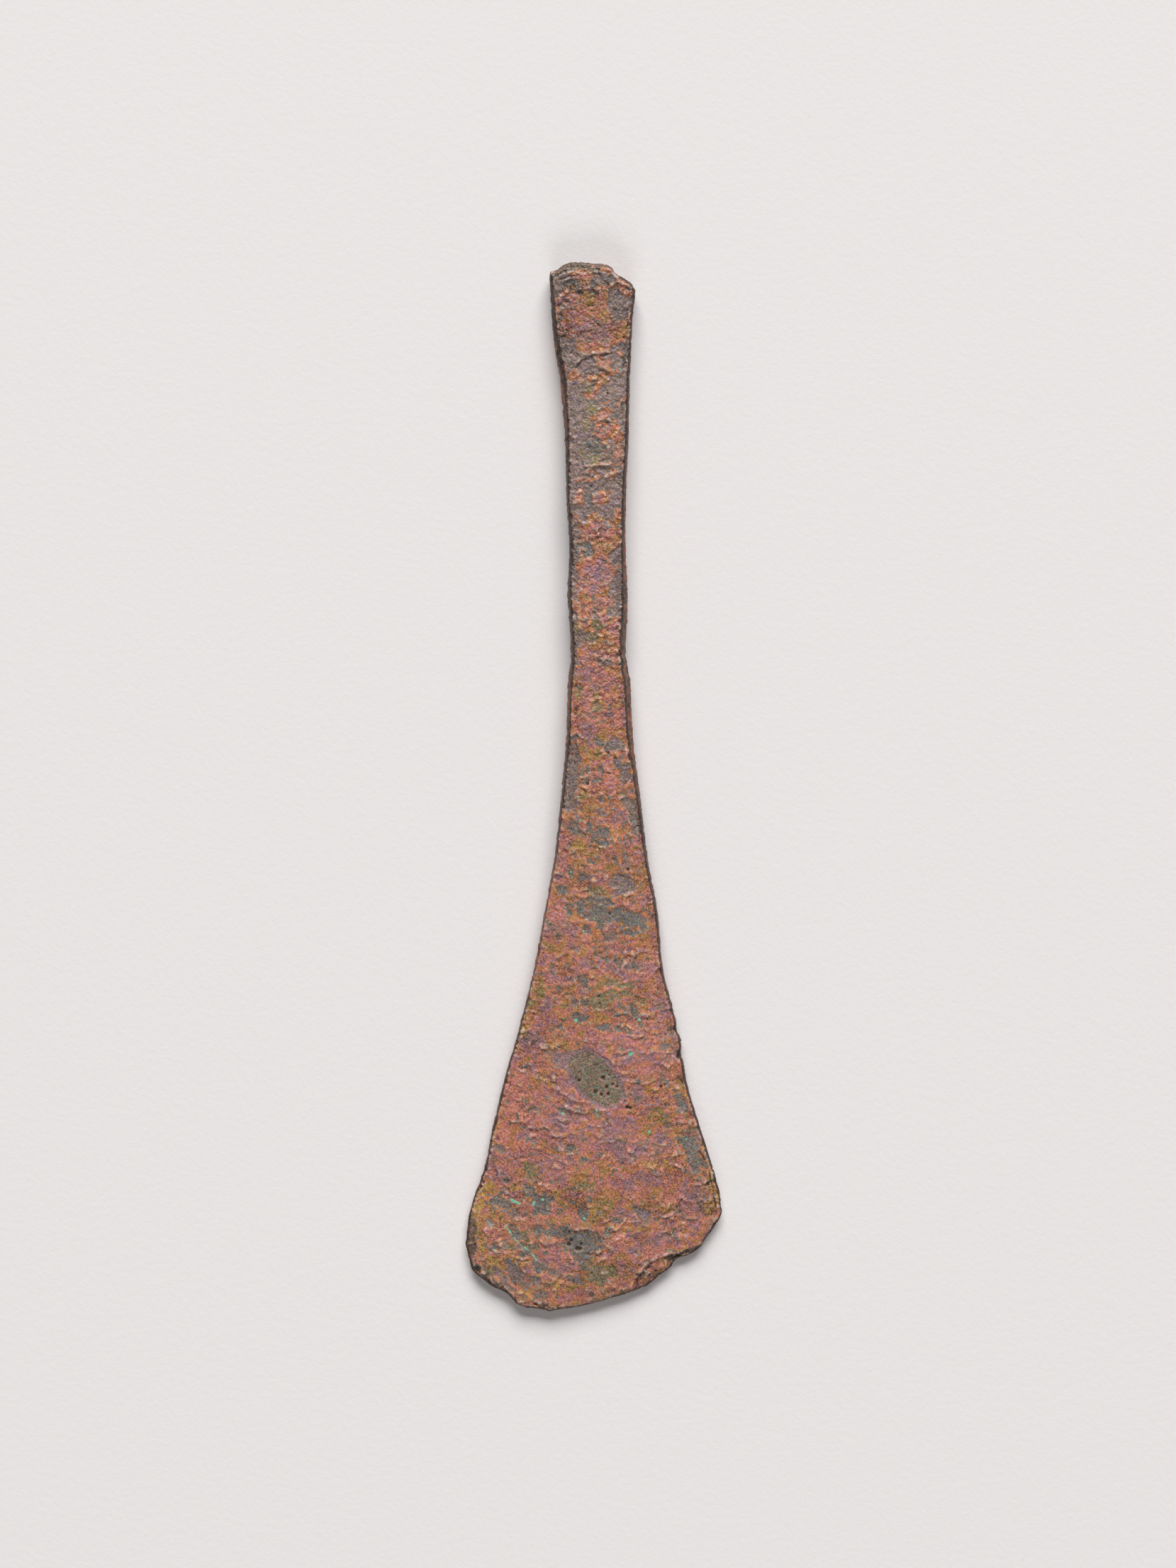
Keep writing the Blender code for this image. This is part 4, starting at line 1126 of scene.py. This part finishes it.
def patina_material(settings):
    """The many-coloured patina, laid on from the crust to the dark line of painted shade round the upper
    face.
    """
    material = bpy.data.materials.new("mottled_bronze_patina")
    material.use_nodes = True
    shader = material.node_tree.nodes["Principled BSDF"]
    nodes = PatinaNodes(material.node_tree)
    colour = with_windows(nodes, crust_colour(nodes), settings)
    colour = with_grain(nodes, with_flecked_patches(nodes, colour))
    colour = with_walls(nodes, with_small_marks(nodes, colour, settings), settings)
    nodes.tree.links.new(colour, shader.inputs["Base Color"])
    nodes.tree.links.new(patina_bump(nodes), shader.inputs["Normal"])
    roughness = nodes.maths("MULTIPLY_ADD", nodes.grain, 0.05, 0.52)
    nodes.tree.links.new(roughness, shader.inputs["Roughness"])
    shader.inputs["Metallic"].default_value = 0.0
    shader.inputs["Specular IOR Level"].default_value = 0.45
    return material


def paper_material(colour):
    """Matt paper with a faint tooth."""
    material = bpy.data.materials.new("pale_paper")
    material.use_nodes = True
    tree = material.node_tree
    shader = tree.nodes["Principled BSDF"]
    shader.inputs["Base Color"].default_value = colour
    shader.inputs["Roughness"].default_value = 0.9
    shader.inputs["Specular IOR Level"].default_value = 0.1
    tooth = {"Strength": 1.0, "Distance": 0.06 * MM, "Height": noise_node(tree, *NOISES["paper"])}
    tree.links.new(add(tree, "ShaderNodeBump", tooth).outputs[0], shader.inputs["Normal"])
    return material


def soft_box(name, power, elevation, azimuth, width, height, distance=10.0):
    """A rectangular light that faces the axe head, its azimuth in degrees from +X towards +Y."""
    up = math.radians(elevation)
    turn = math.radians(azimuth)
    flat = math.cos(up) * distance
    spot = Vector((flat * math.cos(turn), flat * math.sin(turn), math.sin(up) * distance))
    bpy.ops.object.light_add(type="AREA", location=spot)
    light = bpy.context.object
    light.name = name
    light.data.energy = power
    light.data.shape = "RECTANGLE"
    light.data.size = width
    light.data.size_y = height
    light.rotation_euler = spot.to_track_quat("Z", "Y").to_euler()


def colour_setting(name, description, *screen_colour):
    """A colour that the user can change, given in the 0 to 255 of a screen."""
    return bpy.props.FloatVectorProperty(
        name=name,
        description=description,
        default=paint(*screen_colour),
        size=4,
        min=0.0,
        max=1.0,
        subtype="COLOR",
    )


class SurfaceSettings(bpy.types.PropertyGroup):
    """Sizes of the worked surface."""

    square: bpy.props.FloatProperty(
        name="Square",
        description="Side of the even squares that the surface is worked on",
        default=0.28 * MM,
        unit="LENGTH",
    )
    triangles: bpy.props.IntProperty(
        name="Triangles",
        description="Most triangles that the surface may have",
        default=192000,
    )
    flake_height: bpy.props.FloatProperty(
        name="Flake Height",
        description="How high one layer of flaked corrosion stands above the next",
        default=0.07 * MM,
        unit="LENGTH",
    )
    crest: bpy.props.FloatProperty(
        name="Crest",
        description="Height over the paper above which crests are pressed down",
        default=6.22 * MM,
        unit="LENGTH",
    )
    play: bpy.props.FloatProperty(
        name="Play",
        description="How far a crest may still stand over that height",
        default=0.2 * MM,
        unit="LENGTH",
    )


class PatinaSettings(bpy.types.PropertyGroup):
    """Colours of the patina over and under its crust."""

    mauve: colour_setting("Mauve", "Bare skin of the shank", 130, 117, 109)
    slate: colour_setting("Slate", "Grey windows in the crust", 112, 110, 105)
    olive: colour_setting("Olive", "Green-grey windows in the crust", 130, 128, 88)
    verdigris: colour_setting("Verdigris", "Turquoise dots and lines", 120, 190, 160)
    wall: colour_setting("Wall", "Side walls between their russet streaks", 82, 60, 50)
    # Painted shade along the line where the walls meet the upper face
    arris_shade: colour_setting("Arris", "Line where the walls meet the upper face", 58, 42, 34)


class StageSettings(bpy.types.PropertyGroup):
    """The paper, the lights and the lens."""

    paper_side: bpy.props.FloatProperty(
        name="Paper Side",
        description="Side of the square sheet of paper",
        default=3.0,
        unit="LENGTH",
    )
    paper_colour: colour_setting("Paper Colour", "Colour of the sheet", 236, 232, 231)
    lens: bpy.props.FloatProperty(
        name="Lens",
        description="Focal length in millimetres on a sensor 36 mm high",
        default=100.0,
        unit="CAMERA",
    )
    key_power: bpy.props.FloatProperty(
        name="Key Power",
        description="Power of the soft light beyond the butt, in watts",
        default=1510.0,
        unit="POWER",
    )
    fill_power: bpy.props.FloatProperty(
        name="Fill Power",
        description="Power of the weaker light beyond the cutting edge, in watts",
        default=300.0,
        unit="POWER",
    )
    sky: bpy.props.FloatProperty(
        name="Sky",
        description="Strength of the even light from all round",
        default=0.11,
    )


class AXE_OT_surface(bpy.types.Operator):
    """Works the flaked and pitted surface on a fine copy of the casting"""

    bl_idname = "axe.surface"
    bl_label = "Corroded Surface"

    def execute(self, context):
        settings = context.scene.axe_surface
        surface = fine_copy(settings)
        work_surface(surface, settings)
        surface.data.materials.clear()
        surface.data.materials.append(patina_material(context.scene.axe_patina))
        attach(surface, "root")
        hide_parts(CASTING)
        return {"FINISHED"}


class AXE_OT_stage(bpy.types.Operator):
    """Lays the paper and sets the lights and the camera straight above"""

    bl_idname = "axe.stage"
    bl_label = "Paper, Lights and Camera"

    def execute(self, context):
        settings = context.scene.axe_stage
        bpy.ops.object.select_all(action="DESELECT")
        bpy.ops.mesh.primitive_plane_add(size=settings.paper_side)
        paper = context.object
        paper.name = "paper"
        paper.data.materials.append(paper_material(settings.paper_colour))

        soft_box("key", settings.key_power, elevation=33, azimuth=86, width=8.4, height=5.2)
        soft_box("fill", settings.fill_power, elevation=28, azimuth=270, width=6.0, height=3.2)

        world = bpy.data.worlds.new("even_studio_light")
        world.use_nodes = True
        background = world.node_tree.nodes["Background"]
        background.inputs["Color"].default_value = (1.0, 0.985, 0.98, 1.0)
        background.inputs["Strength"].default_value = settings.sky
        context.scene.world = world

        reach = FRAME_HEIGHT * PIXEL * settings.lens / SENSOR
        aim = place(FRAME_WIDTH / 2, FRAME_HEIGHT / 2)
        bpy.ops.object.camera_add(location=(*aim, reach + FOCUS_HEIGHT), rotation=(0, 0, 0))
        camera = context.object
        camera.data.lens = settings.lens
        camera.data.sensor_width = SENSOR
        camera.data.clip_start = 10 * MM
        context.scene.camera = camera
        context.scene.view_settings.view_transform = "Standard"
        return {"FINISHED"}


class AXE_PT_panel(bpy.types.Panel):
    """Lists the sizes, the colours and the steps in the sidebar"""

    bl_label = "Axe Head"
    bl_space_type = "VIEW_3D"
    bl_region_type = "UI"
    bl_category = "Axe Head"

    def draw(self, context):
        for holder in SETTINGS:
            group = getattr(context.scene, holder)
            for name in group.bl_rna.properties.keys():
                if name not in ("rna_type", "name"):
                    self.layout.prop(group, name)
        self.layout.operator(AXE_OT_surface.bl_idname)
        self.layout.operator(AXE_OT_stage.bl_idname)


# Where the scene holds each group of settings
SETTINGS = {
    "axe_surface": SurfaceSettings,
    "axe_patina": PatinaSettings,
    "axe_stage": StageSettings,
}
CLASSES = (*SETTINGS.values(), AXE_OT_surface, AXE_OT_stage, AXE_PT_panel)


def register():
    """Adds the settings, the operators and the panel to Blender."""
    for item in CLASSES:
        bpy.utils.register_class(item)
    for holder, group in SETTINGS.items():
        setattr(bpy.types.Scene, holder, bpy.props.PointerProperty(type=group))


def unregister():
    """Takes them out again."""
    for holder in SETTINGS:
        delattr(bpy.types.Scene, holder)
    for item in reversed(CLASSES):
        bpy.utils.unregister_class(item)


def main():
    register()
    bpy.ops.axe.surface()
    bpy.ops.axe.stage()
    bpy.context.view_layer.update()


if __name__ == "__main__":
    main()
